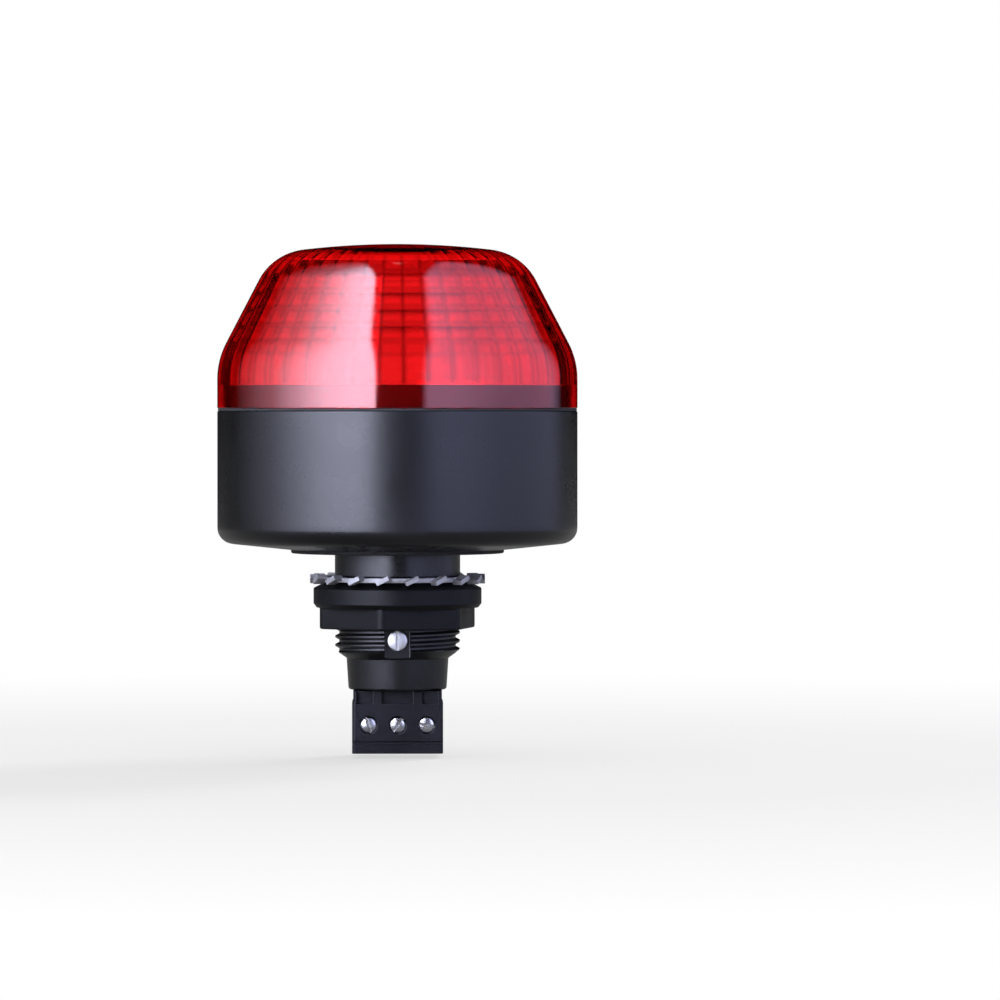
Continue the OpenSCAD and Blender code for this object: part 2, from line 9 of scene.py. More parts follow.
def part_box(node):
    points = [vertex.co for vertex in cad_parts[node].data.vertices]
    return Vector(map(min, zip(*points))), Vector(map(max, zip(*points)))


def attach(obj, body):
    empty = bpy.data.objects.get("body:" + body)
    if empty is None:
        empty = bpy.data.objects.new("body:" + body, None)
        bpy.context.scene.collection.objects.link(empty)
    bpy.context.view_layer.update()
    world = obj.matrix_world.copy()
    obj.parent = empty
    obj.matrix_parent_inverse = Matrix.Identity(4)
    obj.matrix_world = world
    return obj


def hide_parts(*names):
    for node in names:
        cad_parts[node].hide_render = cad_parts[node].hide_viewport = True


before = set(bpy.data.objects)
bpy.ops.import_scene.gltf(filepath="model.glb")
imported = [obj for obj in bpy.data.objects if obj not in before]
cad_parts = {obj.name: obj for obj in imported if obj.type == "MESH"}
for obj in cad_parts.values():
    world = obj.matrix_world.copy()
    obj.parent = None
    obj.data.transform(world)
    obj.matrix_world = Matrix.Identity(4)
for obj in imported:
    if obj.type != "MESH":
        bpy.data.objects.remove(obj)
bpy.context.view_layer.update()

bl_info = {
    "name": "Panel pilot light",
    "version": (1, 0, 0),
    "blender": (4, 5, 0),
    "location": "View3D > Sidebar > Pilot light",
    "description": "Builds the pieces, finishes and studio of a panel pilot light",
    "category": "Object",
}

# Sizes are in millimetres unless a comment or docstring says metres, and MM turns one into the other.
MM = 0.001
TURN = 2 * math.pi
POLES = (1, 2, 3)
LOOK_SEGMENTS = 360
SMALL_SEGMENTS = 64
TINY_SEGMENTS = 48
ROUND_STEPS = 4
# These three are in metres.
MERGE_DISTANCE = 2e-8
LEAST_EDGE = 1e-8
WELD_DISTANCE = 1e-7
WHITE = (1.0, 1.0, 1.0, 1.0)
BLACK = (0.0, 0.0, 0.0, 1.0)


# ---------------------------------------------------------------- sizes from the frame

def low(node):
    """Lowest corner of a frame node, in millimetres."""
    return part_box(node)[0] / MM


def high(node):
    """Highest corner of a frame node, in millimetres."""
    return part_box(node)[1] / MM


def middle(node):
    """Middle of a frame node's box, in millimetres."""
    return (low(node) + high(node)) / 2


HEAD_R = high("lens").x
LENS_FOOT = low("lens").z
SEAL_FOOT = low("lens_seal").z
SEAL_R = high("lens_seal").x
SPIGOT_TOP = high("housing").z
TAIL_FOOT = low("housing").z
GASKET_R = high("panel_gasket").x
GASKET_T = high("panel_gasket").z
NUT_TOP = high("mounting_nut").z
NUT_FOOT = low("mounting_nut").z
DRIVER_BOARD_FOOT = low("driver_board").z
CARRIER_FOOT = low("contact_carrier").z
LENS_FIT = 0.1
SPIGOT_INSET = 2.3
SPIGOT_WALL = 1.7
SPIGOT_R = HEAD_R - SPIGOT_INSET
SPIGOT_BORE_R = SPIGOT_R - SPIGOT_WALL
NECK_R = 11.0
NECK_LEN = 4.0
THREAD_FOOT = -17.5
BORE_R = 8.3


# ---------------------------------------------------------------- settings a user may change

def length(label, description, millimetres):
    """A length property whose default is given in millimetres."""
    return FloatProperty(name=label, description=description, default=millimetres * MM,
                         min=0.0, unit="LENGTH", precision=5)


def share(label, description, default):
    """A property between 0 and 1."""
    return FloatProperty(name=label, description=description, default=default, min=0.0, max=1.0,
                         subtype="FACTOR")


def tint(label, description, default):
    """A colour property in linear light."""
    return FloatVectorProperty(name=label, description=description, default=default, size=3,
                               min=0.0, max=1.0, subtype="COLOR")


class PilotLensSettings(bpy.types.PropertyGroup):
    """Form and colour of the lens."""

    wall: length("Wall", "Wall thickness at the thinnest places", 2.3)
    belt_height: length("Belt height", "Height of the straight band above the foot", 5.1)
    belt_round: length("Belt radius", "Radius between the straight band and the cone", 13.8)
    cone_length: length("Cone length", "Length of the cone along its slope", 12.4)
    cone_angle: FloatProperty(name="Cone angle", description="Slope of the cone from the axis",
                              default=math.radians(27.5), subtype="ANGLE")
    shoulder_round: length("Shoulder radius", "Radius between the cone and the crown", 10.0)
    crown_slope: FloatProperty(name="Crown slope", description="Slope of the crown at the shoulder",
                               default=math.radians(6.8), subtype="ANGLE")
    columns: IntProperty(name="Columns", description="Prism columns around the inside", default=45,
                         min=12, max=90)
    flute_height: length("Flute height", "Height of the plain flutes above the spigot", 6.9)
    row_pitch: length("Row pitch", "Height of one row of prisms along the wall", 3.3)
    prism_depth: length("Prism depth", "How far a prism stands in from the wall", 0.035)
    # Painted shade: how far the colour goes towards black on the lines between prisms.
    prism_line_shade: share("Painted prism line shade", "Shade painted on the lines between prisms", 0.42)
    plain_crown: length("Plain crown", "Radius of the smooth middle of the crown", 6.0)
    absorption: tint("Absorption colour", "Colour that the plastic lets through",
                     (0.995, 0.02, 0.05))
    density: FloatProperty(name="Absorption density", description="How fast light fades, per metre",
                           default=900.0, min=0.0)


class PilotBodySettings(bpy.types.PropertyGroup):
    """Form and colours of the moulded housing and nut."""

    thread_pitch: length("Thread pitch", "Distance between two thread crests", 1.5)
    thread_depth: length("Thread depth", "Height of the thread from root to crest", 0.72)
    housing_colour: tint("Housing colour", "Black plastic of the housing", (0.007, 0.0072, 0.011))
    nut_colour: tint("Nut colour", "Black plastic of the nut", (0.0065, 0.0068, 0.009))
    plug_colour: tint("Plug colour", "Blue-black nylon of the plug", (0.004, 0.0045, 0.009))
    # Painted light: a lighter grey on the spigot behind the lens skirt, so that the skirt looks lit red.
    skirt_glow_colour: tint("Skirt glow colour", "Lighter grey painted on the spigot for light glowing in the lens skirt", (0.10, 0.09, 0.09))
    rubber_colour: tint("Rubber colour", "Black rubber of the seals", (0.018, 0.018, 0.019))
    grain: length("Grain", "Size of the spark-eroded grain", 0.11)


class PilotMetalSettings(bpy.types.PropertyGroup):
    """Colours of the metal pieces."""

    washer_colour: tint("Washer colour", "Zinc-plated spring steel", (0.72, 0.72, 0.74))
    screw_colour: tint("Screw colour", "Nickel-plated steel", (0.76, 0.76, 0.77))
    brass_colour: tint("Brass colour", "Brass of the spacers", (0.78, 0.60, 0.30))
    tin_colour: tint("Contact colour", "Tin-plated bronze of the contacts", (0.80, 0.79, 0.76))


class PilotStudioSettings(bpy.types.PropertyGroup):
    """Camera and light."""

    focal_length: FloatProperty(name="Focal length", description="Focal length in millimetres",
                                default=205.0, min=10.0)
    distance: length("Camera distance", "Distance of the camera in front of the axis", 1000.0)
    eye_height: length("Camera height", "Height of the camera above the panel face", 25.0)
    aim_side: length("Aim to the side", "How far right of the axis the camera aims", 18.0)
    aim_height: length("Aim height", "Height above the panel face that the camera aims at", 9.3)
    floor_gap: length("Floor gap", "Gap between the plug's foot and the floor", 0.85)
    room_light: share("Room light", "Grey level of the light from all round", 0.35)
    key_strength: FloatProperty(name="Left softbox", description="Radiance of the left softbox",
                                default=13.0, min=0.0)
    key_tone: tint("Left softbox tone", "Colour of the left softbox", (0.75, 0.78, 1.0))
    fill_strength: FloatProperty(name="Right softbox", description="Radiance of the right softbox",
                                 default=3.0, min=0.0)
    fill_tone: tint("Right softbox tone", "Colour of the right softbox", (0.58, 0.62, 1.0))
    key_power: FloatProperty(name="Lamp power", description="Power of the key lamp in watts",
                             default=12.0, min=0.0)


class PilotSettings(bpy.types.PropertyGroup):
    """All settings of the pilot light."""

    lens: PointerProperty(type=PilotLensSettings)
    body: PointerProperty(type=PilotBodySettings)
    metal: PointerProperty(type=PilotMetalSettings)
    studio: PointerProperty(type=PilotStudioSettings)


# ---------------------------------------------------------------- outlines

def polar(centre, radius, angle):
    """Point at an angle on a circle, in the plane of an outline."""
    return Vector((centre[0] + radius * math.cos(angle), centre[1] + radius * math.sin(angle)))


def arc(centre, radius, start, end, steps):
    """Points along an arc, with both ends."""
    return [polar(centre, radius, start + (end - start) * i / steps) for i in range(steps + 1)]


def round_corner(before, corner, after, radius):
    """Points of the arc that rounds one corner of an outline."""
    back = (before - corner).normalized()
    ahead = (after - corner).normalized()
    half = back.angle(ahead) / 2
    centre = corner + (back + ahead).normalized() * (radius / math.sin(half))
    reach = radius / math.tan(half)
    start = corner + back * reach - centre
    end = corner + ahead * reach - centre
    from_angle = math.atan2(start.y, start.x)
    sweep = (math.atan2(end.y, end.x) - from_angle + math.pi) % TURN - math.pi
    return arc(centre, radius, from_angle, from_angle + sweep, ROUND_STEPS)


def rounded(corners, closed=False):
    """Outline from corners (x, z) or (x, z, radius), with the radii rounded."""
    points = [Vector(corner[:2]) for corner in corners]
    count = len(points)
    outline = []
    for i, corner in enumerate(corners):
        at_end = not closed and i in (0, count - 1)
        if len(corner) < 3 or at_end:
            outline.append(points[i])
        else:
            outline += round_corner(points[i - 1], points[i], points[(i + 1) % count], corner[2])
    return outline


# ---------------------------------------------------------------- meshes

def finish_mesh(bm, name, sharp_angle):
    """Closes and orients a mesh, shades it smooth and keeps its sharp edges."""
    bmesh.ops.remove_doubles(bm, verts=bm.verts, dist=MERGE_DISTANCE)
    bmesh.ops.dissolve_degenerate(bm, edges=bm.edges, dist=LEAST_EDGE)
    bmesh.ops.recalc_face_normals(bm, faces=bm.faces)
    mesh = bpy.data.meshes.new(name)
    bm.to_mesh(mesh)
    bm.free()
    mesh.shade_smooth()
    mesh.set_sharp_from_angle(angle=math.radians(sharp_angle))
    return mesh


def new_object(name, data):
    """Puts a mesh, lamp or camera into the scene."""
    piece = bpy.data.objects.new(name, data)
    bpy.context.scene.collection.objects.link(piece)
    return piece


def skin(bm, grid):
    """Fills the faces between the neighbouring lines of a grid of vertices."""
    for first, second in zip(grid, grid[1:]):
        for j in range(len(first) - 1):
            bm.faces.new((first[j], first[j + 1], second[j + 1], second[j]))


def turned(name, rows, segments=LOOK_SEGMENTS, closed=False, sharp_angle=30):
    """Solid from rows round the Z axis, in millimetres.

    A row is a point (radius, height), or a function that gives that point for an angle."""
    bm = bmesh.new()
    grid = []
    for row in rows:
        line = []
        for j in range(segments + 1):
            angle = TURN * j / segments
            radius, height = row(angle) if callable(row) else row
            place = Vector((radius * math.cos(angle), radius * math.sin(angle), height))
            line.append(bm.verts.new(place * MM))
        grid.append(line)
    if closed:
        grid.append(grid[0])
    skin(bm, grid)
    return new_object(name, finish_mesh(bm, name, sharp_angle))


def box(name, corner, opposite, edge=0.0):
    """Box between two corners in millimetres, with its edges rounded."""
    bm = bmesh.new()
    bmesh.ops.create_cube(bm, size=1.0)
    size = Vector(opposite) - Vector(corner)
    middle = (Vector(opposite) + Vector(corner)) / 2
    for vertex in bm.verts:
        vertex.co = Vector(a * b for a, b in zip(vertex.co, size)) + middle
        vertex.co *= MM
    if edge:
        bmesh.ops.bevel(bm, geom=list(bm.edges), offset=edge * MM, segments=3, profile=0.5,
                        affect="EDGES")
    return new_object(name, finish_mesh(bm, name, 40))


def rod(name, radius, start, end):
    """Round rod between two points in millimetres."""
    start = Vector(start)
    end = Vector(end)
    along = end - start
    bm = bmesh.new()
    bmesh.ops.create_cone(bm, cap_ends=True, segments=SMALL_SEGMENTS, radius1=radius * MM,
                          radius2=radius * MM, depth=along.length * MM)
    turn = along.to_track_quat("Z", "Y").to_matrix().to_4x4()
    bm.transform(Matrix.Translation((start + end) / 2 * MM) @ turn)
    return new_object(name, finish_mesh(bm, name, 40))


def settle(piece):
    """Applies a piece's modifiers to its mesh."""
    graph = bpy.context.evaluated_depsgraph_get()
    mesh = bpy.data.meshes.new_from_object(piece.evaluated_get(graph))
    piece.modifiers.clear()
    piece.data = mesh


def cut(piece, cutters, sharp_angle=30):
    """Cuts other meshes out of a piece, and deletes them."""
    for cutter in cutters:
        change = piece.modifiers.new("Cut", "BOOLEAN")
        change.operation = "DIFFERENCE"
        change.solver = "EXACT"
        change.object = cutter
    settle(piece)
    for cutter in cutters:
        bpy.data.objects.remove(cutter)
    piece.data.shade_smooth()
    piece.data.set_sharp_from_angle(angle=math.radians(sharp_angle))


def move_to(piece, x, y, z):
    """Moves a piece's mesh to a place in millimetres."""
    piece.data.transform(Matrix.Translation(Vector((x, y, z)) * MM))


def join(pieces):
    """Joins several pieces into the first one."""
    bm = bmesh.new()
    materials = []
    for piece in pieces:
        start = len(bm.faces)
        bm.from_mesh(piece.data)
        bm.faces.ensure_lookup_table()
        offset = len(materials)
        for face in bm.faces[start:]:
            face.material_index += offset
        materials += list(piece.data.materials)
    first = pieces[0]
    bm.to_mesh(first.data)
    bm.free()
    first.data.materials.clear()
    for material in materials:
        first.data.materials.append(material)
    for piece in pieces[1:]:
        bpy.data.objects.remove(piece)
    return first


def soften(piece, width):
    """Rounds the edges of a piece or frame node with modifiers."""
    weld = piece.modifiers.new("Weld", "WELD")
    weld.merge_threshold = WELD_DISTANCE
    bevel = piece.modifiers.new("Soft edges", "BEVEL")
    bevel.width = width * MM
    bevel.segments = 3
    bevel.limit_method = "ANGLE"
    bevel.angle_limit = math.radians(35)
    bevel.harden_normals = True
    bevel.use_clamp_overlap = True


# ---------------------------------------------------------------- node helpers

def add(tree, kind, inputs=None, **settings):
    """Adds a node, sets its options, and fills or links its inputs."""
    node = tree.nodes.new(kind)
    for key, value in settings.items():
        setattr(node, key, value)
    for key, value in (inputs or {}).items():
        socket = node.inputs[key]
        if isinstance(value, bpy.types.NodeSocket):
            tree.links.new(value, socket)
        else:
            socket.default_value = value
    return node


def math_node(tree, operation, first, second):
    """Adds a Math node and gives its result."""
    return add(tree, "ShaderNodeMath", {0: first, 1: second}, operation=operation).outputs[0]


def plus(tree, first, second):
    """Sum of two values."""
    return math_node(tree, "ADD", first, second)


def minus(tree, first, second):
    """First value less the second."""
    return math_node(tree, "SUBTRACT", first, second)


def times(tree, first, second):
    """Product of two values."""
    return math_node(tree, "MULTIPLY", first, second)


def mix_colour(tree, factor, first, second):
    """Mixes two colours and gives the result."""
    node = add(tree, "ShaderNodeMix", {0: factor, 6: first, 7: second}, data_type="RGBA")
    return node.outputs[2]


def map_range(tree, value, from_low, from_high, to_low, to_high):
    """Maps a value from one range to another, clamped."""
    node = add(tree, "ShaderNodeMapRange", {"Value": value, "From Min": from_low, "From Max": from_high,
                                            "To Min": to_low, "To Max": to_high}, clamp=True)
    return node.outputs[0]


def new_group(name, inputs, outputs):
    """Starts a shader node group with named sockets."""
    group = bpy.data.node_groups.new(name, "ShaderNodeTree")
    for label, default in inputs.items():
        socket = group.interface.new_socket(label, in_out="INPUT", socket_type="NodeSocketFloat")
        socket.default_value = default
    for label in outputs:
        group.interface.new_socket(label, in_out="OUTPUT", socket_type="NodeSocketFloat")
    source = group.nodes.new("NodeGroupInput")
    result = group.nodes.new("NodeGroupOutput")
    return group, source.outputs, result.inputs


def object_place(tree, size):
    """Object coordinates divided by a size in metres."""
    place = add(tree, "ShaderNodeTexCoord").outputs["Object"]
    per_size = math_node(tree, "DIVIDE", 1.0, size)
    return add(tree, "ShaderNodeVectorMath", {0: place, "Scale": per_size},
               operation="SCALE").outputs[0]


def grain_group():
    """Fine spark-eroded or cast grain: Height, and a Speckle mask."""
    name = "Fine grain"
    if name in bpy.data.node_groups:
        return bpy.data.node_groups[name]
    group, source, result = new_group(name, {"Size": 0.0001, "Coarseness": 0.5}, ["Height", "Speckle"])
    place = object_place(group, source["Size"])
    fine = add(group, "ShaderNodeTexNoise", {"Vector": place, "Scale": 1.0, "Detail": 3.0,
                                             "Roughness": 0.6}).outputs[0]
    pits = add(group, "ShaderNodeTexVoronoi", {"Vector": place, "Scale": 0.6}).outputs["Distance"]
    share_of_pits = times(group, pits, source["Coarseness"])
    group.links.new(plus(group, fine, share_of_pits), result["Height"])
    group.links.new(map_range(group, fine, 0.45, 0.62, 0.0, 1.0), result["Speckle"])
    return group


def variation_group():
    """Slow cloudy change over the surface, as moulding and handling leave it."""
    name = "Slow variation"
    if name in bpy.data.node_groups:
        return bpy.data.node_groups[name]
    group, source, result = new_group(name, {"Size": 0.01, "Low": 0.3, "High": 0.4}, ["Value"])
    place = object_place(group, source["Size"])
    cloud = add(group, "ShaderNodeTexNoise", {"Vector": place, "Scale": 1.0, "Detail": 4.0,
                                              "Roughness": 0.55}).outputs[0]
    node = add(group, "ShaderNodeMapRange", {"Value": cloud, "From Min": 0.3, "From Max": 0.7,
                                             "To Min": source["Low"], "To Max": source["High"]})
    group.links.new(node.outputs[0], result["Value"])
    return group


def wear_group():
    """Mask of the edges that handling polishes, broken up by noise."""
    name = "Edge wear"
    if name in bpy.data.node_groups:
        return bpy.data.node_groups[name]
    group, source, result = new_group(name, {"Start": 0.52, "End": 0.60, "Patch Size": 0.002}, ["Mask"])
    edge = add(group, "ShaderNodeNewGeometry").outputs["Pointiness"]
    place = object_place(group, source["Patch Size"])
    patch = add(group, "ShaderNodeTexNoise", {"Vector": place, "Scale": 1.0, "Detail": 3.0}).outputs[0]
    ridge = add(group, "ShaderNodeMapRange", {"Value": edge, "From Min": source["Start"],
                                              "From Max": source["End"]}).outputs[0]
    broken = map_range(group, patch, 0.35, 0.6, 0.2, 1.0)
    group.links.new(times(group, ridge, broken), result["Mask"])
    return group


def tooling_group():
    """Streaks that a tool leaves: stretched noise along one axis."""
    name = "Tooling streaks"
    if name in bpy.data.node_groups:
        return bpy.data.node_groups[name]
    group, source, result = new_group(name, {"Size": 0.0002, "Stretch X": 1.0, "Stretch Y": 1.0,
                                             "Stretch Z": 12.0}, ["Height"])
    place = object_place(group, source["Size"])
    stretch = add(group, "ShaderNodeCombineXYZ", {0: source["Stretch X"], 1: source["Stretch Y"],
                                                  2: source["Stretch Z"]}).outputs[0]
    thin = add(group, "ShaderNodeVectorMath", {0: place, 1: stretch}, operation="DIVIDE").outputs[0]
    streak = add(group, "ShaderNodeTexNoise", {"Vector": thin, "Scale": 1.0, "Detail": 2.0}).outputs[0]
    group.links.new(streak, result["Height"])
    return group


def use_group(tree, group, inputs):
    """Places a node group in a material with its own values."""
    node = add(tree, "ShaderNodeGroup", node_tree=group)
    for key, value in inputs.items():
        node.inputs[key].default_value = value
    return node.outputs


def cloudy(tree, size, least=0.0, most=1.0):
    """A value that changes slowly over the surface; size is in metres."""
    return use_group(tree, variation_group(), {"Size": size, "Low": least, "High": most})["Value"]


def shade(rgb, factor=1.0):
    """A colour with its fourth value, made darker or lighter."""
    return (*(min(part * factor, 1.0) for part in rgb), 1.0)


def new_material(name, **sockets):
    """A material with a Principled BSDF whose plain sockets are set."""
    material = bpy.data.materials.new(name)
    material.use_nodes = True
    tree = material.node_tree
    shader = tree.nodes["Principled BSDF"]
    for key, value in sockets.items():
        shader.inputs[key.replace("_", " ")].default_value = value
    return material, tree, shader


def blank_material(name):
    """A material with an empty tree, and the socket that takes its surface."""
    material = bpy.data.materials.new(name)
    material.use_nodes = True
    tree = material.node_tree
    tree.nodes.clear()
    return material, tree, add(tree, "ShaderNodeOutputMaterial").inputs["Surface"]


def feed(tree, shader, **sockets):
    """Links values to a shader's sockets; an underscore stands for a space."""
    for key, value in sockets.items():
        tree.links.new(value, shader.inputs[key.replace("_", " ")])


def bump(tree, shader, height, depth, strength=1.0):
    """Feeds a height through a Bump node; depth is in metres."""
    node = add(tree, "ShaderNodeBump", {"Strength": strength, "Distance": depth, "Height": height})
    feed(tree, shader, Normal=node.outputs["Normal"])


# ---------------------------------------------------------------- finishes

def moulded_plastic(name, rgb, grain, rough_low, rough_high, depth, wear=0.25, gloss=0.3):
    """Satin moulded plastic with fine grain, cloudy gloss and polished edges."""
    material, tree, shader = new_material(name, IOR=1.5, Specular_IOR_Level=gloss)
    fine = use_group(tree, grain_group(), {"Size": grain, "Coarseness": 0.45})
    edge = use_group(tree, wear_group(), {"Start": 0.51, "End": 0.57, "Patch Size": 0.0015})["Mask"]
    base = mix_colour(tree, cloudy(tree, 0.02), shade(rgb, 0.88), shade(rgb, 1.14))
    base = mix_colour(tree, times(tree, fine["Speckle"], 0.3), base, shade(rgb, 1.5))
    base = mix_colour(tree, times(tree, edge, wear), base, shade(rgb, 2.6))
    polish = times(tree, edge, wear * 0.16)
    rough = minus(tree, cloudy(tree, 0.009, rough_low, rough_high), polish)
    feed(tree, shader, Base_Color=base, Roughness=rough)
    bump(tree, shader, fine["Height"], depth)
    return material


def plated_metal(name, rgb, streak, rough_low, rough_high, stretch=(1.0, 1.0, 12.0), metallic=1.0):
    """Plated metal with darker tool streaks and cloudy plating."""
    material, tree, shader = new_material(name, Metallic=metallic)
    marks = use_group(tree, tooling_group(), {"Size": streak, "Stretch X": stretch[0],
                                              "Stretch Y": stretch[1], "Stretch Z": stretch[2]})["Height"]
    base = mix_colour(tree, cloudy(tree, 0.004), shade(rgb, 0.75), shade(rgb))
    base = mix_colour(tree, times(tree, marks, 0.35), base, shade(rgb, 0.62))
    feed(tree, shader, Base_Color=base, Roughness=cloudy(tree, 0.003, rough_low, rough_high))
    bump(tree, shader, marks, 0.012 * MM)
    return material


def line_mask(tree, value, width):
    """Soft line at every whole number of a value; width is the half-width of a line."""
    away = math_node(tree, "PINGPONG", value, 0.5)
    return add(tree, "ShaderNodeMapRange", {"Value": away, "From Min": 0.0, "From Max": width,
                                            "To Min": 1.0, "To Max": 0.0},
               interpolation_type="SMOOTHSTEP").outputs[0]


# Half-widths of the lines of painted shade between prisms and lengths of the fades, as shares of a row or
# column.
ROW_LINE = 0.22
COLUMN_LINE = 0.20
ROWS_START = (-0.25, -0.2)
ROWS_FADE = 0.2
# This fade is in millimetres.
SKIRT_FADE = 0.3


def painted_prism_shade(tree, form):
    """Mask of the shade painted on the soft lines between prisms: columns round the axis, rows along the
    wall.
    """
    place = object_place(tree, MM)
    parts = add(tree, "ShaderNodeSeparateXYZ", {0: place}).outputs
    flat = add(tree, "ShaderNodeVectorMath", {0: place, 1: (1.0, 1.0, 0.0)}, operation="MULTIPLY")
    radius = add(tree, "ShaderNodeVectorMath", {0: flat.outputs[0]}, operation="LENGTH").outputs["Value"]
    foot = polar(form.belt, form.belt_round - form.wall / 2, form.cone_angle)
    side = times(tree, minus(tree, radius, foot.x), form.along.x)
    rise = times(tree, minus(tree, parts[2], foot.y), form.along.y)
    slope = math_node(tree, "MINIMUM", plus(tree, side, rise), form.cone_length)
    out = minus(tree, radius, form.shoulder.x)
    up = minus(tree, parts[2], form.shoulder.y)
    bend = map_range(tree, math_node(tree, "ARCTAN2", up, out), form.cone_angle,
                     math.pi / 2 - form.crown_slope, 0.0, form.run_crown - form.run_shoulder)
    level = math_node(tree, "MAXIMUM", minus(tree, form.crown_edge, radius), 0.0)
    run = plus(tree, plus(tree, slope, bend), level)
    row = math_node(tree, "DIVIDE", plus(tree, run, form.run_cone - form.flute), form.pitch)
    turn = math_node(tree, "ARCTAN2", parts[1], parts[0])
    column = times(tree, turn, form.columns / TURN)
    in_rows = map_range(tree, row, ROWS_START[0], ROWS_START[1], 0.0, 1.0)
    row_line = times(tree, line_mask(tree, row, ROW_LINE), in_rows)
    line = math_node(tree, "MAXIMUM", row_line, line_mask(tree, column, COLUMN_LINE))
    prisms = map_range(tree, row, form.rows, form.rows + ROWS_FADE, 1.0, 0.0)
    above_skirt = map_range(tree, parts[2], form.skirt_top, form.skirt_top + SKIRT_FADE, 0.0, 1.0)
    return times(tree, line, times(tree, prisms, above_skirt))


def lens_plastic(settings, form):
    """Clear red plastic: light fades with its depth, and shade is painted into its colour on the lines
    between the prisms.
    """
    material, tree, shader = new_material("Red lens plastic", IOR=1.58, Metallic=0.0,
                                          Transmission_Weight=1.0)
    base = mix_colour(tree, cloudy(tree, 0.012), (1.0, 0.80, 0.82, 1.0), (1.0, 0.88, 0.90, 1.0))
    # Painted shade: the colour goes towards black on the lines between prisms.
    line = times(tree, painted_prism_shade(tree, form), settings.prism_line_shade)
    base = mix_colour(tree, line, base, BLACK)
    feed(tree, shader, Base_Color=base, Roughness=cloudy(tree, 0.006, 0.055, 0.095))
    bump(tree, shader, cloudy(tree, 0.004), 0.006 * MM)
    inside = add(tree, "ShaderNodeVolumeAbsorption", {"Color": shade(settings.absorption),
                                                      "Density": settings.density})
    tree.links.new(inside.outputs["Volume"], tree.nodes["Material Output"].inputs["Volume"])
    return material


def board_finish(name, rgb, mark):
    """Circuit board with its lacquer, a weave under it and faint tracks."""
    material, tree, shader = new_material(name, IOR=1.5, Coat_Roughness=0.12, Coat_IOR=1.5)
    weave = add(tree, "ShaderNodeTexWave", {"Vector": object_place(tree, 0.0008), "Scale": 1.0,
                                            "Distortion": 0.4}).outputs[1]
    cell = add(tree, "ShaderNodeTexVoronoi", {"Vector": object_place(tree, 0.004), "Scale": 1.0},
               feature="DISTANCE_TO_EDGE").outputs[0]
    track = map_range(tree, cell, 0.03, 0.05, 1.0, 0.0)
    base = mix_colour(tree, times(tree, weave, 0.12), shade(rgb), shade(rgb, 0.7))
    base = mix_colour(tree, times(tree, track, 0.25), base, shade(mark))
    feed(tree, shader, Base_Color=base, Roughness=cloudy(tree, 0.006, 0.3, 0.42),
         Coat_Weight=cloudy(tree, 0.01, 0.2, 0.4))
    bump(tree, shader, track, 0.02 * MM, 0.6)
    return material


def rubber_finish(rgb):
    """Dull black rubber with a dusty bloom."""
    material, tree, shader = new_material("Seal rubber", IOR=1.5)
    fine = use_group(tree, grain_group(), {"Size": 0.00018, "Coarseness": 0.2})
    base = mix_colour(tree, cloudy(tree, 0.005, 0.0, 0.5), shade(rgb), shade(rgb, 2.2))
    feed(tree, shader, Base_Color=base, Roughness=cloudy(tree, 0.004, 0.6, 0.75))
    bump(tree, shader, fine["Height"], 0.02 * MM)
    return material


# ---------------------------------------------------------------- placing pieces

def hang(piece, body, *nodes, slot=None):
    """Rides a piece on a body, in place of the frame's own nodes."""
    even = piece.modifiers.new("Even normals", "WEIGHTED_NORMAL")
    even.keep_sharp = True
    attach(piece, body)
    if nodes:
        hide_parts(*nodes)


def dress(node, material, edge):
    """Gives a frame node its finish, and softens its edges."""
    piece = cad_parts[node]
    for index in range(len(piece.data.materials)):
        piece.data.materials[index] = material
    soften(piece, edge)


def paint(piece, *materials):
    """Gives a piece its materials."""
    piece.data.materials.clear()
    for material in materials:
        piece.data.materials.append(material)


class PilotPiece:
    """What all the operators share."""

    bl_options = {"REGISTER", "UNDO"}

    @staticmethod
    def settings(context):
        """The scene's settings of the pilot light."""
        return context.scene.pilot_light


# ---------------------------------------------------------------- lens

FLUTE_STEPS = 10
ROW_STEPS = 8
COLUMN_STEPS = 12
LENS_FOOT_ROUND = 0.12


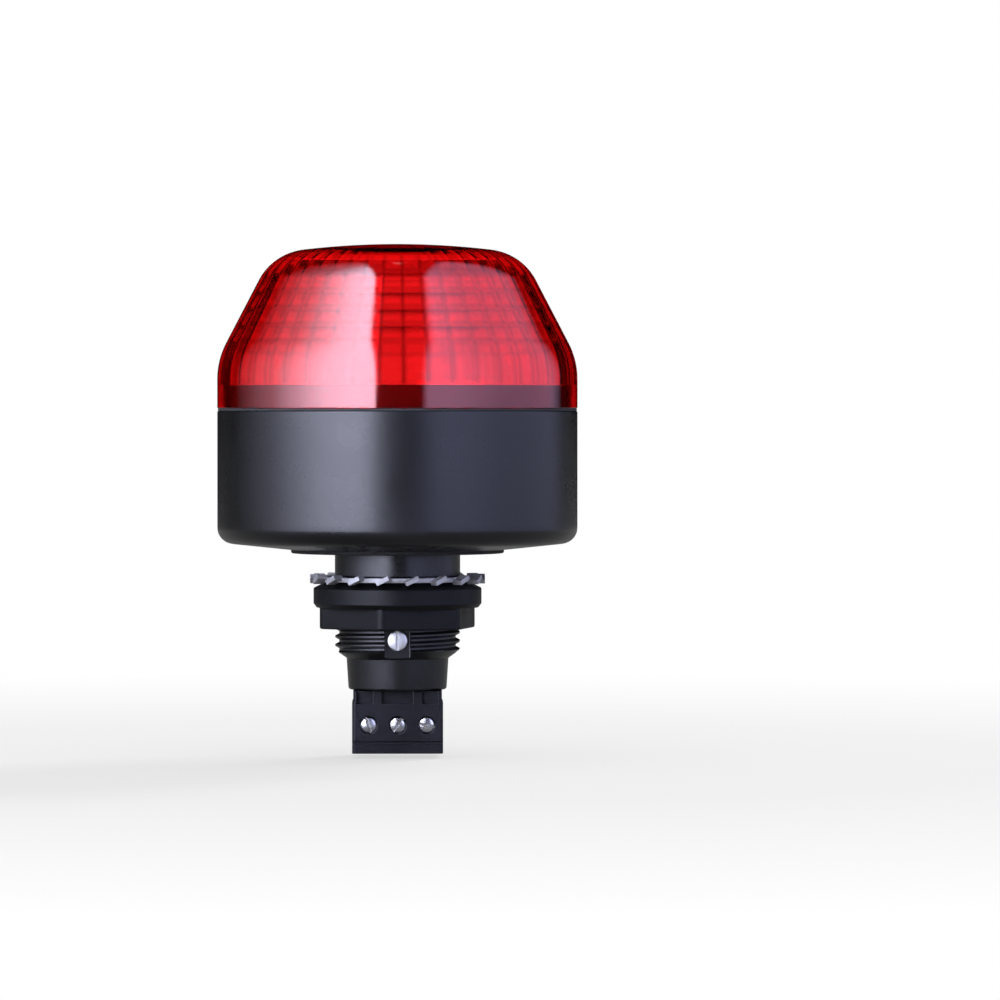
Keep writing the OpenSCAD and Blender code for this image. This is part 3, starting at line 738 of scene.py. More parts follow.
class LensForm:
    """Curves of the lens: a straight band, an arc, a cone, an arc and a shallow crown."""

    def __init__(self, settings):
        self.wall = settings.wall / MM
        self.columns = settings.columns
        self.flute = settings.flute_height / MM
        self.pitch = settings.row_pitch / MM
        self.depth = settings.prism_depth / MM
        self.plain_crown = settings.plain_crown / MM
        self.cone_angle = settings.cone_angle
        self.cone_length = settings.cone_length / MM
        self.crown_slope = settings.crown_slope
        self.belt_round = settings.belt_round / MM
        self.shoulder_round = settings.shoulder_round / MM
        self.belt = Vector((HEAD_R - self.belt_round, LENS_FOOT + settings.belt_height / MM))
        along = Vector((-math.sin(self.cone_angle), math.cos(self.cone_angle)))
        cone_top = polar(self.belt, self.belt_round, self.cone_angle) + along * self.cone_length
        self.shoulder = polar(cone_top, -self.shoulder_round, self.cone_angle)
        crown_foot = polar(self.shoulder, self.shoulder_round, math.pi / 2 - self.crown_slope)
        self.crown_edge = crown_foot.x
        self.crown_round = crown_foot.x / math.sin(self.crown_slope)
        self.crown = Vector((0.0, crown_foot.y - self.crown_round * math.cos(self.crown_slope)))
        self.along = along
        self.skirt_top = SPIGOT_TOP + LENS_FIT
        self.run_belt = self.belt.y - self.skirt_top
        self.run_cone = self.run_belt + (self.belt_round - self.wall) * self.cone_angle
        self.run_shoulder = self.run_cone + self.cone_length
        turn = math.pi / 2 - self.crown_slope - self.cone_angle
        self.run_crown = self.run_shoulder + (self.shoulder_round - self.wall) * turn
        crown_run = crown_foot.x - self.plain_crown
        self.rows = int((self.run_crown + crown_run - self.flute) / self.pitch)

    def outside(self):
        """Outer outline from the foot to the middle of the crown."""
        crown_start = math.pi / 2 - self.crown_slope
        return (round_corner(Vector((SPIGOT_R, LENS_FOOT)), Vector((HEAD_R, LENS_FOOT)),
                             Vector((HEAD_R, self.belt.y)), LENS_FOOT_ROUND)
                + arc(self.belt, self.belt_round, 0.0, self.cone_angle, 10)
                + arc(self.shoulder, self.shoulder_round, self.cone_angle, crown_start, 18)
                + arc(self.crown, self.crown_round, crown_start, math.pi / 2, 8)[1:])

    def inside(self, run, depth):
        """Point of the inner surface at a run along the wall, and a depth further in."""
        belt_in = self.belt_round - self.wall
        shoulder_in = self.shoulder_round - self.wall
        crown_in = self.crown_round - self.wall
        if run < self.run_belt:
            return Vector((self.belt.x + belt_in - depth, self.skirt_top + run))
        if run < self.run_cone:
            return polar(self.belt, belt_in - depth, (run - self.run_belt) / belt_in)
        if run < self.run_shoulder:
            foot = polar(self.belt, belt_in - depth, self.cone_angle)
            return foot + self.along * (run - self.run_cone)
        if run < self.run_crown:
            return polar(self.shoulder, shoulder_in - depth,
                         self.cone_angle + (run - self.run_shoulder) / shoulder_in)
        start = math.pi / 2 - self.crown_slope
        return polar(self.crown, crown_in - depth, start + (run - self.run_crown) / crown_in)

    def prism_row(self, run, along):
        """Row of the inner surface: flat-topped prisms with soft grooves between them.

        Along runs from -1 to 1 over a row of prisms, and is None in the flutes."""
        rise = self.depth if along is None else self.depth * (1.0 - along ** 4)

        def at(angle):
            across = (angle * self.columns / TURN) % 1.0 * 2.0 - 1.0
            point = self.inside(run, rise + self.depth * (1.0 - across ** 4))
            return point.x, point.y

        return at

    def prism_rows(self):
        """Flutes at the foot, then rows of prisms up to the plain crown."""
        rows = [self.prism_row(self.flute * i / FLUTE_STEPS, None) for i in range(FLUTE_STEPS)]
        for row in range(self.rows):
            for i in range(ROW_STEPS):
                along = i / ROW_STEPS
                rows.append(self.prism_row(self.flute + self.pitch * (row + along), 2.0 * along - 1.0))
        return rows


class PILOT_OT_lens(PilotPiece, bpy.types.Operator):
    """Build the red lens with its flutes and rows of prisms"""

    bl_idname = "pilot_light.lens"
    bl_label = "Lens"

    def execute(self, context):
        settings = self.settings(context).lens
        form = LensForm(settings)
        bore = SPIGOT_R + LENS_FIT
        last = form.flute + form.pitch * form.rows
        crown_edge = form.inside(last, 0.0)
        half_way = crown_edge.x / 2
        rows = form.outside()
        rows += [Vector((0.0, form.crown.y + form.crown_round - form.wall)),
                 Vector((half_way, form.inside(last + half_way, 0.0).y)),
                 Vector((crown_edge.x - 0.3, crown_edge.y + 0.1))]
        rows += form.prism_rows()[::-1]
        rows += [Vector((bore, form.skirt_top)), Vector((bore, LENS_FOOT))]
        lens = turned("red_lens", rows, segments=form.columns * COLUMN_STEPS, closed=True, sharp_angle=24)
        paint(lens, lens_plastic(settings, form))
        hang(lens, "housing", "lens", slot="lens")
        return {"FINISHED"}


# ---------------------------------------------------------------- housing

# One pitch of the thread: how far down it a point lies, and its share of the height.
THREAD_SHAPE = ((0.00, 0.0), (0.20, 0.0), (0.26, 0.12), (0.44, 0.88), (0.50, 1.0), (0.68, 1.0),
                (0.74, 0.88), (0.94, 0.12))
# The stem's crests lie this far inside the neck's radius, and the nut's bore as far outside it.
THREAD_PLAY = 0.05
TAIL_R = 8.6
TAIL_TOP_R = 8.95
TAIL_STEP = 0.9
RECESS_H = 0.6
RIM_SLOPE = math.radians(6.0)
RIM_ROUND = 2.8
RIM_FOOT_R = 21.6
NECK_TOP = 0.2
NECK_STEP = 0.7
HOUSING_WALL = 2.2
HOUSING_FLOOR = 1.8
THROAT_DROP = 3.2
HOUSING_SEGMENTS = 288
KEYWAY_HALF = 2.3
KEYWAY_RISE = 6.5
KEYWAY_FLOOR = BORE_R + 1.0
SOCKET_HALF = (6.8, 3.0)
BOSS_CIRCLE_R = 20.0
BOSS_R = 3.6
BOSS_TOP_R = 3.4
BOSS_BORE_R = 1.25
BOSS_COUNT = 3
BOSS_SUNK = 0.1
SCREW_HOLE_R = 1.1
# The painted skirt glow covers the spigot faces above this height and outside this radius.
SKIRT_GLOW_FOOT = SEAL_FOOT + 0.1
SKIRT_GLOW_R = SPIGOT_R - 0.3
# A cutter ends this far beyond what it cuts.
PAST = 1.0


def thread_rows(top, foot, pitch, root, height, lead=0.6):
    """Rows of a screw thread between two heights, run out at both ends."""
    turns = int((top - foot) / pitch) + 2

    def row(drop, rise):
        def at(angle):
            level = top - drop * pitch + pitch * angle / TURN
            level = min(max(level, foot), top)
            fade = min((top - level) / lead, (level - foot) / lead, 1.0)
            return root + height * rise * fade, level

        return at

    return [row(turn + drop, rise) for turn in range(turns) for drop, rise in THREAD_SHAPE]


def housing_outline(settings):
    """Rows of the housing from the middle of its foot, up outside and down inside."""
    pitch = settings.thread_pitch / MM
    height = settings.thread_depth / MM
    root = NECK_R - THREAD_PLAY - height
    tail = [(0.0, TAIL_FOOT), (TAIL_R, TAIL_FOOT, 0.45), (TAIL_TOP_R, THREAD_FOOT - TAIL_STEP, 0.2),
            (root, THREAD_FOOT)]
    rim_height = (RECESS_H + RIM_ROUND / math.cos(RIM_SLOPE)
                  + (HEAD_R - RIM_FOOT_R) * math.tan(RIM_SLOPE))
    rim_centre = Vector((HEAD_R - RIM_ROUND, rim_height))
    rim_start = RIM_SLOPE - math.pi / 2
    rim = arc(rim_centre, RIM_ROUND, rim_start, 0.0, 10)
    recess = GASKET_R + LENS_FIT
    inner = HEAD_R - HOUSING_WALL
    throat = SEAL_FOOT - THROAT_DROP
    floor_top = GASKET_T + HOUSING_FLOOR
    bottom = rounded([(root, -NECK_LEN), (NECK_R, -NECK_LEN, 0.15), (NECK_R, NECK_TOP, 0.08),
                      (NECK_R + NECK_STEP, NECK_TOP, 0.1), (NECK_R + NECK_STEP, GASKET_T),
                      (recess, GASKET_T), (recess, RECESS_H, 0.15), rim[0]])
    top = rounded([(HEAD_R, rim_centre.y + 1.0), (HEAD_R, SEAL_FOOT, 0.15), (SPIGOT_R, SEAL_FOOT, 0.15),
                   (SPIGOT_R, SPIGOT_TOP, 0.3), (SPIGOT_BORE_R, SPIGOT_TOP, 0.2),
                   (SPIGOT_BORE_R, throat), (inner, throat - inner + SPIGOT_BORE_R),
                   (inner, floor_top, 1.4), (BORE_R, floor_top), (BORE_R, CARRIER_FOOT),
                   (0.0, CARRIER_FOOT)])
    thread = thread_rows(-NECK_LEN, THREAD_FOOT, pitch, root, height)
    return rounded(tail) + thread[::-1] + bottom + rim[1:] + top


def boss(turn):
    """Boss that carries the driver board, at an angle round the axis."""
    foot = GASKET_T + HOUSING_FLOOR - BOSS_SUNK
    rows = rounded([(BOSS_BORE_R, foot), (BOSS_R, foot, 0.2), (BOSS_TOP_R, DRIVER_BOARD_FOOT, 0.2),
                    (BOSS_BORE_R, DRIVER_BOARD_FOOT)], closed=True)
    piece = turned("boss", rows, segments=SMALL_SEGMENTS, closed=True)
    move_to(piece, *polar((0.0, 0.0), BOSS_CIRCLE_R, turn), 0.0)
    return piece


class PILOT_OT_housing(PilotPiece, bpy.types.Operator):
    """Build the housing with its threaded stem, keyway, socket and bosses"""

    bl_idname = "pilot_light.housing"
    bl_label = "Housing"

    def execute(self, context):
        settings = self.settings(context).body
        housing = turned("housing_moulding", housing_outline(settings), segments=HOUSING_SEGMENTS,
                         sharp_angle=32)
        keyway = box("keyway", (-KEYWAY_HALF, -NECK_R - PAST, THREAD_FOOT - TAIL_STEP),
                     (KEYWAY_HALF, -KEYWAY_FLOOR, THREAD_FOOT + KEYWAY_RISE), edge=0.25)
        side, front = SOCKET_HALF
        socket = box("socket", (-side, -front, TAIL_FOOT - PAST), (side, front, CARRIER_FOOT + PAST),
                     edge=0.2)
        height = middle("carrier_screw").z
        hole = rod("screw_hole", SCREW_HOLE_R, (0.0, -KEYWAY_FLOOR - PAST, height),
                   (0.0, -BORE_R + PAST, height))
        cut(housing, [keyway, socket, hole])
        bosses = [boss(TURN / 4 + TURN * i / BOSS_COUNT) for i in range(BOSS_COUNT)]
        housing = join([housing] + bosses)
        plastic = moulded_plastic("Housing plastic", settings.housing_colour, settings.grain,
                                  0.25, 0.33, 0.006 * MM, wear=0.06, gloss=0.56)
        # Painted light: a lighter grey on the spigot behind the lens skirt stands in for light glowing in
        # the skirt.
        skirt_glow = moulded_plastic("Painted skirt glow", settings.skirt_glow_colour, settings.grain, 0.3, 0.4,
                               0.006 * MM)
        paint(housing, plastic, skirt_glow)
        # Spigot faces behind the lens skirt take the painted glow.
        for face in housing.data.polygons:
            place = face.center / MM
            face.material_index = int(place.z > SKIRT_GLOW_FOOT and place.xy.length > SKIRT_GLOW_R)
        hang(housing, "housing", "housing", slot="housing")
        return {"FINISHED"}


# ---------------------------------------------------------------- seals

GASKET_BORE_R = 12.0


class PILOT_OT_seals(PilotPiece, bpy.types.Operator):
    """Build the flat lens seal and the panel gasket"""

    bl_idname = "pilot_light.seals"
    bl_label = "Seals"

    def execute(self, context):
        rubber = rubber_finish(self.settings(context).body.rubber_colour)
        seal = turned("lens_flat_seal",
                      rounded([(SPIGOT_R + LENS_FIT, SEAL_FOOT), (SEAL_R, SEAL_FOOT, 0.15),
                               (SEAL_R, LENS_FOOT, 0.15), (SPIGOT_R + LENS_FIT, LENS_FOOT)],
                              closed=True), closed=True)
        gasket = turned("panel_seal_ring",
                        rounded([(GASKET_BORE_R, 0.0, 0.2), (GASKET_R, 0.0, 0.3),
                                 (GASKET_R, GASKET_T, 0.2), (GASKET_BORE_R, GASKET_T, 0.2)],
                                closed=True), closed=True)
        paint(seal, rubber)
        paint(gasket, rubber)
        hang(seal, "housing", "lens_seal", slot="rubber")
        hang(gasket, "housing", "panel_gasket", slot="rubber")
        return {"FINISHED"}


# ---------------------------------------------------------------- washer and nut

class PILOT_OT_washer(PilotPiece, bpy.types.Operator):
    """Finish the toothed lock washer"""

    bl_idname = "pilot_light.washer"
    bl_label = "Lock washer"

    def execute(self, context):
        metal = self.settings(context).metal
        steel = plated_metal("Washer steel", metal.washer_colour, 0.00025, 0.55, 0.68,
                             stretch=(6.0, 6.0, 1.0), metallic=0.6)
        dress("lock_washer", steel, 0.1)
        return {"FINISHED"}


NUT_ACROSS = 25.0
NUT_CORNER_R = 14.2
# Turn of the hexagon at rest.
NUT_TURN = math.radians(18)
FLANGE_T = 3.9
FLANGE_STEP = 0.7
FLANGE_SLOPE = 1.2
NUT_FACE_R = 12.3
NUT_LEAD = 0.4
NUT_THREAD_H = 0.45
NUT_CHAMFER = 0.35


def nut_outline(settings):
    """Rows of the nut: a round flange, a hexagon below, and the thread inside."""
    flange = high("mounting_nut").x
    bore = NECK_R + THREAD_PLAY
    mouth = bore + NUT_LEAD
    rim_foot = NUT_TOP - FLANGE_T
    step = rim_foot - FLANGE_STEP
    pitch = settings.thread_pitch / MM

    def hexagon(level, inset, limit=NUT_CORNER_R):
        def at(angle):
            side = (angle - NUT_TURN) % (TURN / 6) - TURN / 12
            return min(NUT_ACROSS / 2 / math.cos(side) - inset, limit), level

        return at

    outside = rounded([(mouth, NUT_TOP), (NUT_FACE_R, NUT_TOP, 0.2), (flange, NUT_TOP - FLANGE_SLOPE, 0.3),
                       (flange, rim_foot, 0.3), (NUT_CORNER_R + 0.02, step)])
    sides = [hexagon(step, -0.12), hexagon(step - 0.15, 0.0), hexagon(NUT_FOOT + NUT_CHAMFER, 0.0),
             hexagon(NUT_FOOT + 0.12, 0.08, NUT_CORNER_R - 0.12),
             hexagon(NUT_FOOT, 0.3, NUT_CORNER_R - NUT_CHAMFER)]
    thread = thread_rows(NUT_TOP - NUT_LEAD, NUT_FOOT + NUT_LEAD, pitch, bore, NUT_THREAD_H, lead=0.3)
    return outside + sides + [Vector((mouth, NUT_FOOT))] + thread[::-1]


class PILOT_OT_nut(PilotPiece, bpy.types.Operator):
    """Build the flanged hexagon nut"""

    bl_idname = "pilot_light.nut"
    bl_label = "Nut"

    def execute(self, context):
        settings = self.settings(context).body
        nut = turned("flange_nut", nut_outline(settings), closed=True, sharp_angle=20)
        paint(nut, moulded_plastic("Nut plastic", settings.nut_colour, settings.grain, 0.38, 0.50,
                                   0.008 * MM, wear=0.2, gloss=0.2))
        hang(nut, "nut", "mounting_nut", slot="nut")
        return {"FINISHED"}


# ---------------------------------------------------------------- screws

def screw(name, node, body, steel, head_t, dome, shank_r, slot_w, slot_depth, slot_angle=0.0):
    """Slotted screw in place of a frame node: it points backwards, with its head in front."""
    lower, upper = low(node), high(node)
    head_r = (upper.z - lower.z) / 2
    head_back = lower.y + head_t + dome
    shank_len = upper.y - head_back
    outline = rounded([(0.0, head_t + dome), (head_r * 0.6, head_t + dome * 0.7),
                       (head_r, head_t - 0.05, 0.18), (head_r, 0.0, 0.08), (shank_r, 0.0),
                       (shank_r, -shank_len + 0.2), (shank_r - 0.2, -shank_len), (0.0, -shank_len)])
    piece = turned(name, outline, segments=SMALL_SEGMENTS, sharp_angle=35)
    slot = box("slot", (-slot_w / 2, -head_r - PAST, head_t - slot_depth),
               (slot_w / 2, head_r + PAST, head_t + PAST))
    slot.data.transform(Matrix.Rotation(slot_angle, 4, "Z"))
    cut(piece, [slot], sharp_angle=35)
    piece.data.transform(Matrix.Rotation(math.radians(90), 4, "X"))
    move_to(piece, middle(node).x, head_back, middle(node).z)
    paint(piece, steel)
    hang(piece, body, node, slot="screw_steel")


class PILOT_OT_carrier(PilotPiece, bpy.types.Operator):
    """Finish the contact carrier and its pins, and build the screw that holds it"""

    bl_idname = "pilot_light.carrier"
    bl_label = "Contact carrier"

    def execute(self, context):
        settings = self.settings(context)
        nylon = moulded_plastic("Carrier nylon", settings.body.plug_colour, 0.0002, 0.4, 0.5, 0.01 * MM)
        tin = plated_metal("Tinned contact", settings.metal.tin_colour, 0.0002, 0.2, 0.34)
        steel = plated_metal("Screw steel", settings.metal.screw_colour, 0.00018, 0.36, 0.46,
                             stretch=(1.0, 8.0, 1.0))
        dress("contact_carrier", nylon, edge=0.2)
        for pole in POLES:
            dress(f"contact_pin_{pole}", tin, edge=0.15)
        screw("carrier_fixing_screw", "carrier_screw", "housing", steel, head_t=0.7, dome=0.1,
              shank_r=0.9, slot_w=0.6, slot_depth=0.5)
        return {"FINISHED"}


class PILOT_OT_plug(PilotPiece, bpy.types.Operator):
    """Finish the terminal plug, its contacts and its clamp cages"""

    bl_idname = "pilot_light.plug"
    bl_label = "Terminal plug"

    def execute(self, context):
        settings = self.settings(context)
        nylon = moulded_plastic("Plug nylon", settings.body.plug_colour, 0.00016, 0.34, 0.46,
                                0.008 * MM, wear=0.4)
        tin = plated_metal("Plug contact tin", settings.metal.tin_colour, 0.0002, 0.2, 0.34)
        zinc = plated_metal("Cage zinc", settings.metal.washer_colour, 0.0002, 0.25, 0.4,
                            stretch=(8.0, 1.0, 1.0))
        dress("terminal_plug", nylon, edge=0.14)
        for pole in POLES:
            dress(f"plug_contact_{pole}", tin, edge=0.1)
            dress(f"clamp_cage_{pole}", zinc, edge=0.12)
        return {"FINISHED"}


class PILOT_OT_terminal_screws(PilotPiece, bpy.types.Operator):
    """Build the three terminal screws"""

    bl_idname = "pilot_light.terminal_screws"
    bl_label = "Terminal screws"

    def execute(self, context):
        steel = plated_metal("Terminal screw steel", self.settings(context).metal.screw_colour, 0.00015,
                             0.16, 0.3, stretch=(1.0, 8.0, 1.0))
        for pole, slot_angle in zip(POLES, (20, -35, 75)):
            screw(f"clamp_screw_{pole}", f"terminal_screw_{pole}", f"screw_{pole}", steel, head_t=1.05,
                  dome=0.15, shank_r=1.2, slot_w=0.5, slot_depth=0.4,
                  slot_angle=math.radians(slot_angle))
        return {"FINISHED"}


# ---------------------------------------------------------------- boards and diodes

EPOXY_BLACK = (0.02, 0.02, 0.022)
BOARD_GREEN = (0.012, 0.09, 0.03)
GREEN_TRACK = (0.03, 0.17, 0.06)
BOARD_WHITE = (0.78, 0.78, 0.76)
WHITE_TRACK = (0.68, 0.68, 0.67)
SLEEVE_BLUE = (0.02, 0.035, 0.09)
FERRITE_GREY = (0.05, 0.035, 0.028)
LACQUER_BLUE = (0.02, 0.07, 0.28)
CASE_WHITE = (0.80, 0.80, 0.77)
DIODE_CASE_T = 0.9
DIODE_SIDE = 3.5
CUP_DEPTH = 0.15
CUP_PAST = 0.05
DOME_SUNK = 0.14


class PILOT_OT_boards(PilotPiece, bpy.types.Operator):
    """Finish the two boards, their parts, spacers and screws"""

    bl_idname = "pilot_light.boards"
    bl_label = "Boards"

    def execute(self, context):
        metal = self.settings(context).metal
        steel = plated_metal("Board screw steel", metal.screw_colour, 0.0002, 0.2, 0.35)
        brass = plated_metal("Spacer brass", metal.brass_colour, 0.0003, 0.25, 0.38)
        epoxy = moulded_plastic("Chip epoxy", EPOXY_BLACK, 0.0001, 0.45, 0.6, 0.006 * MM)
        header = moulded_plastic("Link nylon", EPOXY_BLACK, 0.0001, 0.35, 0.5, 0.006 * MM)
        sleeve = moulded_plastic("Capacitor sleeve", SLEEVE_BLUE, 0.0003, 0.25, 0.38, 0.004 * MM)
        ferrite = moulded_plastic("Choke ferrite", FERRITE_GREY, 0.0002, 0.4, 0.6, 0.02 * MM)
        lacquer = moulded_plastic("Varistor lacquer", LACQUER_BLUE, 0.0006, 0.3, 0.45, 0.03 * MM)
        dress("driver_board", board_finish("Green board", BOARD_GREEN, GREEN_TRACK), 0.1)
        dress("led_board", board_finish("White board", BOARD_WHITE, WHITE_TRACK), 0.1)
        dress("board_link", header, 0.15)
        dress("capacitor", sleeve, 0.25)
        dress("choke", ferrite, 0.15)
        dress("rectifier", epoxy, 0.2)
        dress("driver_chip", epoxy, 0.12)
        dress("varistor", lacquer, 0.5)
        for i in (1, 2, 3):
            dress(f"spacer_{i}", brass, 0.15)
            dress(f"led_board_screw_{i}", steel, 0.12)
        return {"FINISHED"}


def diode_dome():
    """Clear silicone of a diode, tinted by the phosphor below it."""
    material, tree, shader = new_material("Diode dome", IOR=1.45, Metallic=0.0, Roughness=0.06)
    base = mix_colour(tree, cloudy(tree, 0.001), (0.86, 0.70, 0.16, 1.0), (0.92, 0.80, 0.30, 1.0))
    feed(tree, shader, Base_Color=base, Coat_Weight=cloudy(tree, 0.001, 0.7, 1.0))
    return material


def diode(number, case_finish, dome_finish):
    """Diode at the origin: a white case with a cup, and the clear dome in it."""
    lower, upper = low(f"led_{number}"), high(f"led_{number}")
    half = DIODE_SIDE / 2
    dome_r = upper.z - lower.z - DIODE_CASE_T
    cup_top = DIODE_CASE_T + CUP_PAST
    cup_foot = DIODE_CASE_T - CUP_DEPTH
    case = box("diode_case", (-half, -half, 0.0), (half, half, DIODE_CASE_T), 0.12)
    cup = turned("cup", [(0.0, cup_foot), (dome_r, cup_foot), (dome_r + 0.15, cup_top), (0.0, cup_top)],
                 segments=TINY_SEGMENTS)
    cut(case, [cup])
    bulge = arc((0.0, DIODE_CASE_T), dome_r, 0.0, math.pi / 2, 10)
    dome = turned("diode_dome", [(0.0, DIODE_CASE_T - DOME_SUNK)] + bulge, segments=TINY_SEGMENTS)
    paint(case, case_finish)
    paint(dome, dome_finish)
    piece = join([case, dome])
    piece.name = f"diode_{number}"
    return piece


class PILOT_OT_diodes(PilotPiece, bpy.types.Operator):
    """Build the ring of light emitting diodes"""

    bl_idname = "pilot_light.diodes"
    bl_label = "Diodes"

    def execute(self, context):
        case_finish = moulded_plastic("Diode case", CASE_WHITE, 0.0002, 0.3, 0.45, 0.004 * MM, wear=0.0)
        dome_finish = diode_dome()
        names = [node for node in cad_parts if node.startswith("led_") and node[4:].isdigit()]
        for number in sorted(int(name[4:]) for name in names):
            node = f"led_{number}"
            place = middle(node)
            piece = diode(number, case_finish, dome_finish)
            piece.data.transform(Matrix.Rotation(math.atan2(place.y, place.x), 4, "Z"))
            move_to(piece, place.x, place.y, low(node).z)
            hang(piece, "housing", node, slot="led")
        return {"FINISHED"}


# ---------------------------------------------------------------- studio

# The studio's own sizes are in metres, and its angles in degrees.
DOME_R = 1.6
# The glow's colours are written as shares of this radiance.
LIGHT_TOP = 20.0
# Angles from the front and shares of each softbox's strength.
LEFT_GLOW = ((-124.0, 0.0), (-109.0, 0.03), (-85.0, 0.14), (-65.0, 0.46), (-47.0, 0.84),
             (-30.0, 1.0), (-8.0, 1.0))
RIGHT_GLOW = ((8.0, 1.0), (36.0, 1.0), (70.0, 0.62), (115.0, 0.45), (128.0, 0.0))
# Edges of the dark gap between the softboxes, as shares of the dome's radius.
GAP_LEFT = (-0.25, -0.22)
GAP_RIGHT = (0.26, 0.33)
# Cards reach from and to these angles above the horizon.
TILTS = (-2.0, 88.0)
FLAG_R = 1.7
REAR_FLAG = (156.0, 204.0)
LEFT_REAR_FLAG = (-156.0, -122.0)
RIGHT_REAR_FLAG = (122.0, 156.0)
CARD_ACROSS = 24
CARD_UP = 16
FLOOR_REACH = 6.0
# The shadow fades from the first distance, and beyond the second the floor is plain white.
SHADOW_ENDS = (0.12, 0.32)
FLOOR_GREY = (0.55, 0.55, 0.55, 1.0)
FLOOR_GLOW = 0.62
LAMP_SIZE = 0.7
KEY_LAMP_PLACE = (-1.0, -0.8, 1.0)
BACK_LAMP_PLACE = (0.9, 1.0, 0.9)
BACK_LAMP_SHARE = 0.6


def sphere_card(name, azimuths, radius):
    """Curved card round the object; azimuth 0 is in front, and it grows to the right."""
    bm = bmesh.new()
    grid = []
    for i in range(CARD_UP + 1):
        tilt = math.radians(TILTS[0] + (TILTS[1] - TILTS[0]) * i / CARD_UP)
        line = []
        for j in range(CARD_ACROSS + 1):
            side = math.radians(azimuths[0] + (azimuths[1] - azimuths[0]) * j / CARD_ACROSS)
            way = Vector((math.sin(side) * math.cos(tilt), -math.cos(side) * math.cos(tilt),
                          math.sin(tilt)))
            line.append(bm.verts.new(way * radius))
        grid.append(line)
    skin(bm, grid)
    mesh = bpy.data.meshes.new(name)
    bm.to_mesh(mesh)
    bm.free()
    mesh.shade_smooth()
    return new_object(name, mesh)


def keep_for_gloss(card, seen_through=True):
    """Leaves a card to reflections, and to light that has passed through the lens if asked."""
    card.visible_camera = False
    card.visible_diffuse = False
    card.visible_transmission = seen_through
    card.visible_volume_scatter = False


def softbox_finish(settings):
    """Glow of the dome: a bright left side that fades to the back, a dim right side, a dark gap."""
    material, tree, surface = blank_material("Softbox glow")
    place = add(tree, "ShaderNodeTexCoord").outputs["Object"]
    parts = add(tree, "ShaderNodeSeparateXYZ", {0: place}).outputs
    side = math_node(tree, "ARCTAN2", parts[0], times(tree, parts[1], -1.0))
    ramp = add(tree, "ShaderNodeValToRGB", {0: map_range(tree, side, -math.pi, math.pi, 0.0, 1.0)})
    stops = [(angle, shade(tone, level * strength / LIGHT_TOP))
             for glow, tone, strength in ((LEFT_GLOW, settings.key_tone, settings.key_strength),
                                          (RIGHT_GLOW, settings.fill_tone, settings.fill_strength))
             for angle, level in glow]
    points = ramp.color_ramp.elements
    while len(points) < len(stops):
        points.new(0.5)
    for point, (angle, tone) in zip(points, stops):
        point.position = (angle + 180.0) / 360.0
        point.color = tone
    across = math_node(tree, "DIVIDE", parts[0], DOME_R)
    left = map_range(tree, across, GAP_LEFT[0], GAP_LEFT[1], 1.0, 0.0)
    right = map_range(tree, across, GAP_RIGHT[0], GAP_RIGHT[1], 0.0, 1.0)
    glow = times(tree, plus(tree, left, right), LIGHT_TOP)
    emission = add(tree, "ShaderNodeEmission", {"Color": ramp.outputs[0], "Strength": glow})
    tree.links.new(emission.outputs[0], surface)
    return material


def floor_finish():
    """Pale floor: near the object it keeps the shadow, and further out it is plain white."""
    material, tree, surface = blank_material("Pale floor")
    place = add(tree, "ShaderNodeTexCoord").outputs["Object"]
    reach = add(tree, "ShaderNodeVectorMath", {0: place}, operation="LENGTH").outputs["Value"]
    far = map_range(tree, reach, SHADOW_ENDS[0], SHADOW_ENDS[1], 0.0, 1.0)
    path = add(tree, "ShaderNodeLightPath").outputs
    matt = add(tree, "ShaderNodeBsdfDiffuse", {"Color": FLOOR_GREY}).outputs[0]
    soft = add(tree, "ShaderNodeEmission", {"Color": WHITE, "Strength": FLOOR_GLOW}).outputs[0]
    near = add(tree, "ShaderNodeAddShader", {0: matt, 1: soft}).outputs[0]
    white = add(tree, "ShaderNodeEmission", {"Color": WHITE, "Strength": 1.0}).outputs[0]
    seen = add(tree, "ShaderNodeMixShader", {0: far, 1: near, 2: white}).outputs[0]
    both = add(tree, "ShaderNodeMixShader", {0: path["Is Camera Ray"], 1: matt, 2: seen})
    tree.links.new(both.outputs[0], surface)
    return material


def soft_lamp(name, place, power):
    """Soft lamp aimed at the object; it lights matt surfaces and leaves gloss to the cards."""
    data = bpy.data.lights.new(name, "AREA")
    data.shape = "DISK"
    data.size = LAMP_SIZE
    data.energy = power
    lamp = new_object(name, data)
    lamp.location = place
    lamp.rotation_euler = (-Vector(place)).to_track_quat("-Z", "Y").to_euler()
    lamp.visible_camera = False
    lamp.visible_glossy = False
    lamp.visible_transmission = False


def light_the_room(level):
    """World that is white where it is seen, and a plain grey level where it only lights."""
    world = bpy.data.worlds.new("Studio")
    bpy.context.scene.world = world
    world.use_nodes = True
    tree = world.node_tree
    tree.nodes.clear()
    path = add(tree, "ShaderNodeLightPath").outputs
    seen = math_node(tree, "MAXIMUM", path["Is Camera Ray"],
                     math_node(tree, "MAXIMUM", path["Is Glossy Ray"], path["Is Transmission Ray"]))
    grey = add(tree, "ShaderNodeBackground", {"Color": (level, level, level, 1.0), "Strength": 1.0})
    white = add(tree, "ShaderNodeBackground", {"Color": WHITE, "Strength": 1.0})
    mixed = add(tree, "ShaderNodeMixShader", {0: seen, 1: grey.outputs[0], 2: white.outputs[0]})
    output = add(tree, "ShaderNodeOutputWorld")
    tree.links.new(mixed.outputs[0], output.inputs["Surface"])


def place_camera(settings):
    """Camera in front of the object, aimed a little to the right of its axis."""
    data = bpy.data.cameras.new("Camera")
    data.lens = settings.focal_length
    data.clip_start = 0.05
    data.clip_end = 50.0
    camera = new_object("Camera", data)
    camera.location = (0.0, -settings.distance, settings.eye_height)
    aim = Vector((settings.aim_side, 0.0, settings.aim_height))
    camera.rotation_euler = (aim - camera.location).to_track_quat("-Z", "Y").to_euler()
    bpy.context.scene.camera = camera


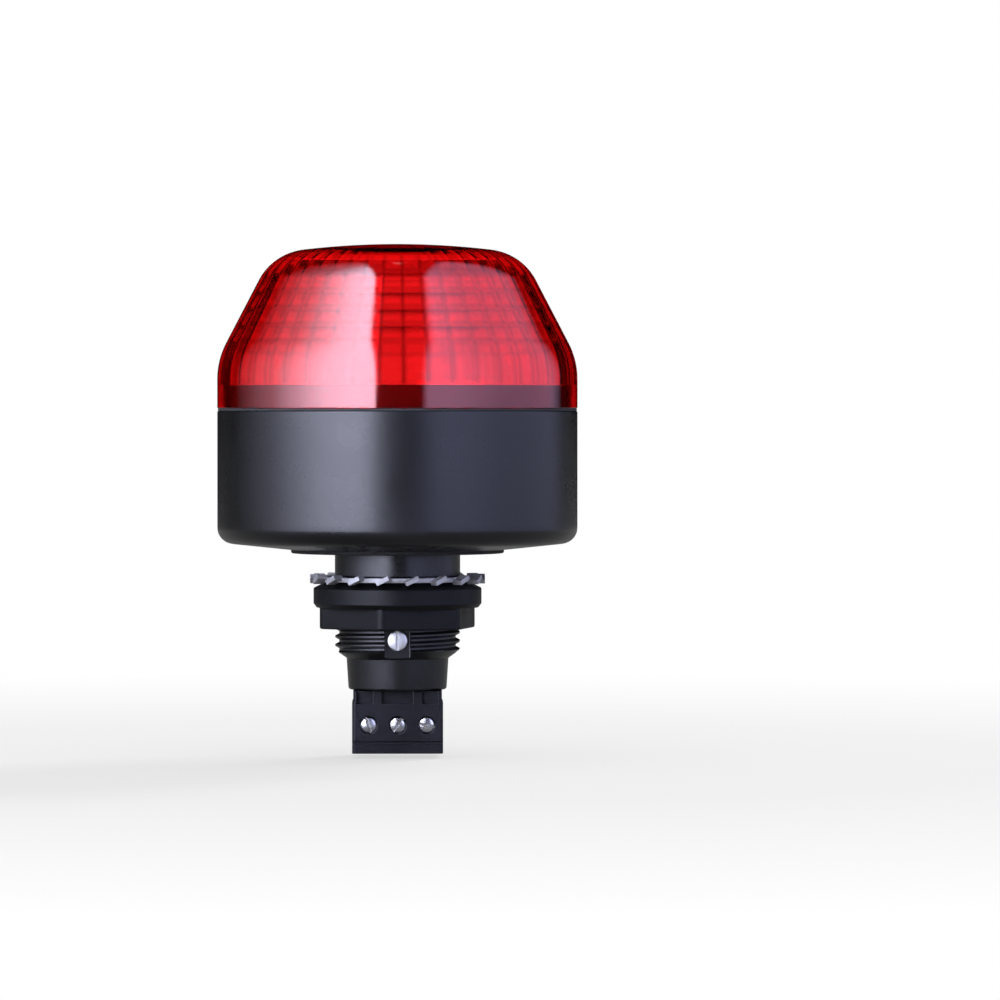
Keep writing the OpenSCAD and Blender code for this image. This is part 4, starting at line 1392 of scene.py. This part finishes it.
class PILOT_OT_stage(PilotPiece, bpy.types.Operator):
    """Set up the floor, the light and the camera"""

    bl_idname = "pilot_light.stage"
    bl_label = "Studio"

    def execute(self, context):
        settings = self.settings(context).studio
        context.scene.view_settings.view_transform = "Standard"
        light_the_room(settings.room_light)
        floor_level = low("terminal_plug").z - settings.floor_gap / MM
        plane = [(0.0, floor_level), (FLOOR_REACH / MM, floor_level)]
        floor = turned("floor", plane, segments=TINY_SEGMENTS)
        paint(floor, floor_finish())
        dome = sphere_card("softbox_dome", (LEFT_GLOW[0][0], RIGHT_GLOW[-1][0]), DOME_R)
        paint(dome, softbox_finish(settings))
        rear_flag = sphere_card("rear_flag", REAR_FLAG, FLAG_R)
        flags = [rear_flag, sphere_card("left_rear_flag", LEFT_REAR_FLAG, FLAG_R),
                 sphere_card("right_rear_flag", RIGHT_REAR_FLAG, FLAG_R)]
        black = new_material("Flag black", Roughness=1.0, Specular_IOR_Level=0.0, Base_Color=BLACK)[0]
        for flag in flags:
            paint(flag, black)
        for card in (dome, *flags):
            keep_for_gloss(card, seen_through=card is not rear_flag)
        soft_lamp("key_lamp", KEY_LAMP_PLACE, settings.key_power)
        soft_lamp("back_lamp", BACK_LAMP_PLACE, settings.key_power * BACK_LAMP_SHARE)
        place_camera(settings)
        return {"FINISHED"}


# ---------------------------------------------------------------- panel and registration

OPERATORS = (PILOT_OT_lens, PILOT_OT_housing, PILOT_OT_seals, PILOT_OT_washer, PILOT_OT_nut,
             PILOT_OT_carrier, PILOT_OT_plug, PILOT_OT_terminal_screws, PILOT_OT_boards,
             PILOT_OT_diodes, PILOT_OT_stage)


class PILOT_PT_panel(bpy.types.Panel):
    """Settings and operators of the pilot light"""

    bl_label = "Pilot light"
    bl_idname = "PILOT_PT_panel"
    bl_space_type = "VIEW_3D"
    bl_region_type = "UI"
    bl_category = "Pilot light"

    def draw(self, context):
        layout = self.layout
        settings = context.scene.pilot_light
        for title, group in (("Lens", settings.lens), ("Body", settings.body),
                             ("Metal", settings.metal), ("Studio", settings.studio)):
            part = layout.box()
            part.label(text=title)
            for name in group.bl_rna.properties.keys():
                if name not in ("rna_type", "name"):
                    part.prop(group, name)
        for operator in OPERATORS:
            layout.operator(operator.bl_idname)


CLASSES = (PilotLensSettings, PilotBodySettings, PilotMetalSettings, PilotStudioSettings, PilotSettings,
           *OPERATORS, PILOT_PT_panel)


def register():
    """Registers the settings, operators and panel."""
    for item in CLASSES:
        bpy.utils.register_class(item)
    bpy.types.Scene.pilot_light = PointerProperty(type=PilotSettings)


def unregister():
    """Takes the settings, operators and panel away again."""
    del bpy.types.Scene.pilot_light
    for item in reversed(CLASSES):
        bpy.utils.unregister_class(item)


def main():
    """Builds every piece and the studio, in order."""
    register()
    bpy.ops.pilot_light.lens()
    bpy.ops.pilot_light.housing()
    bpy.ops.pilot_light.seals()
    bpy.ops.pilot_light.washer()
    bpy.ops.pilot_light.nut()
    bpy.ops.pilot_light.carrier()
    bpy.ops.pilot_light.plug()
    bpy.ops.pilot_light.terminal_screws()
    bpy.ops.pilot_light.boards()
    bpy.ops.pilot_light.diodes()
    bpy.ops.pilot_light.stage()


if __name__ == "__main__":
    main()
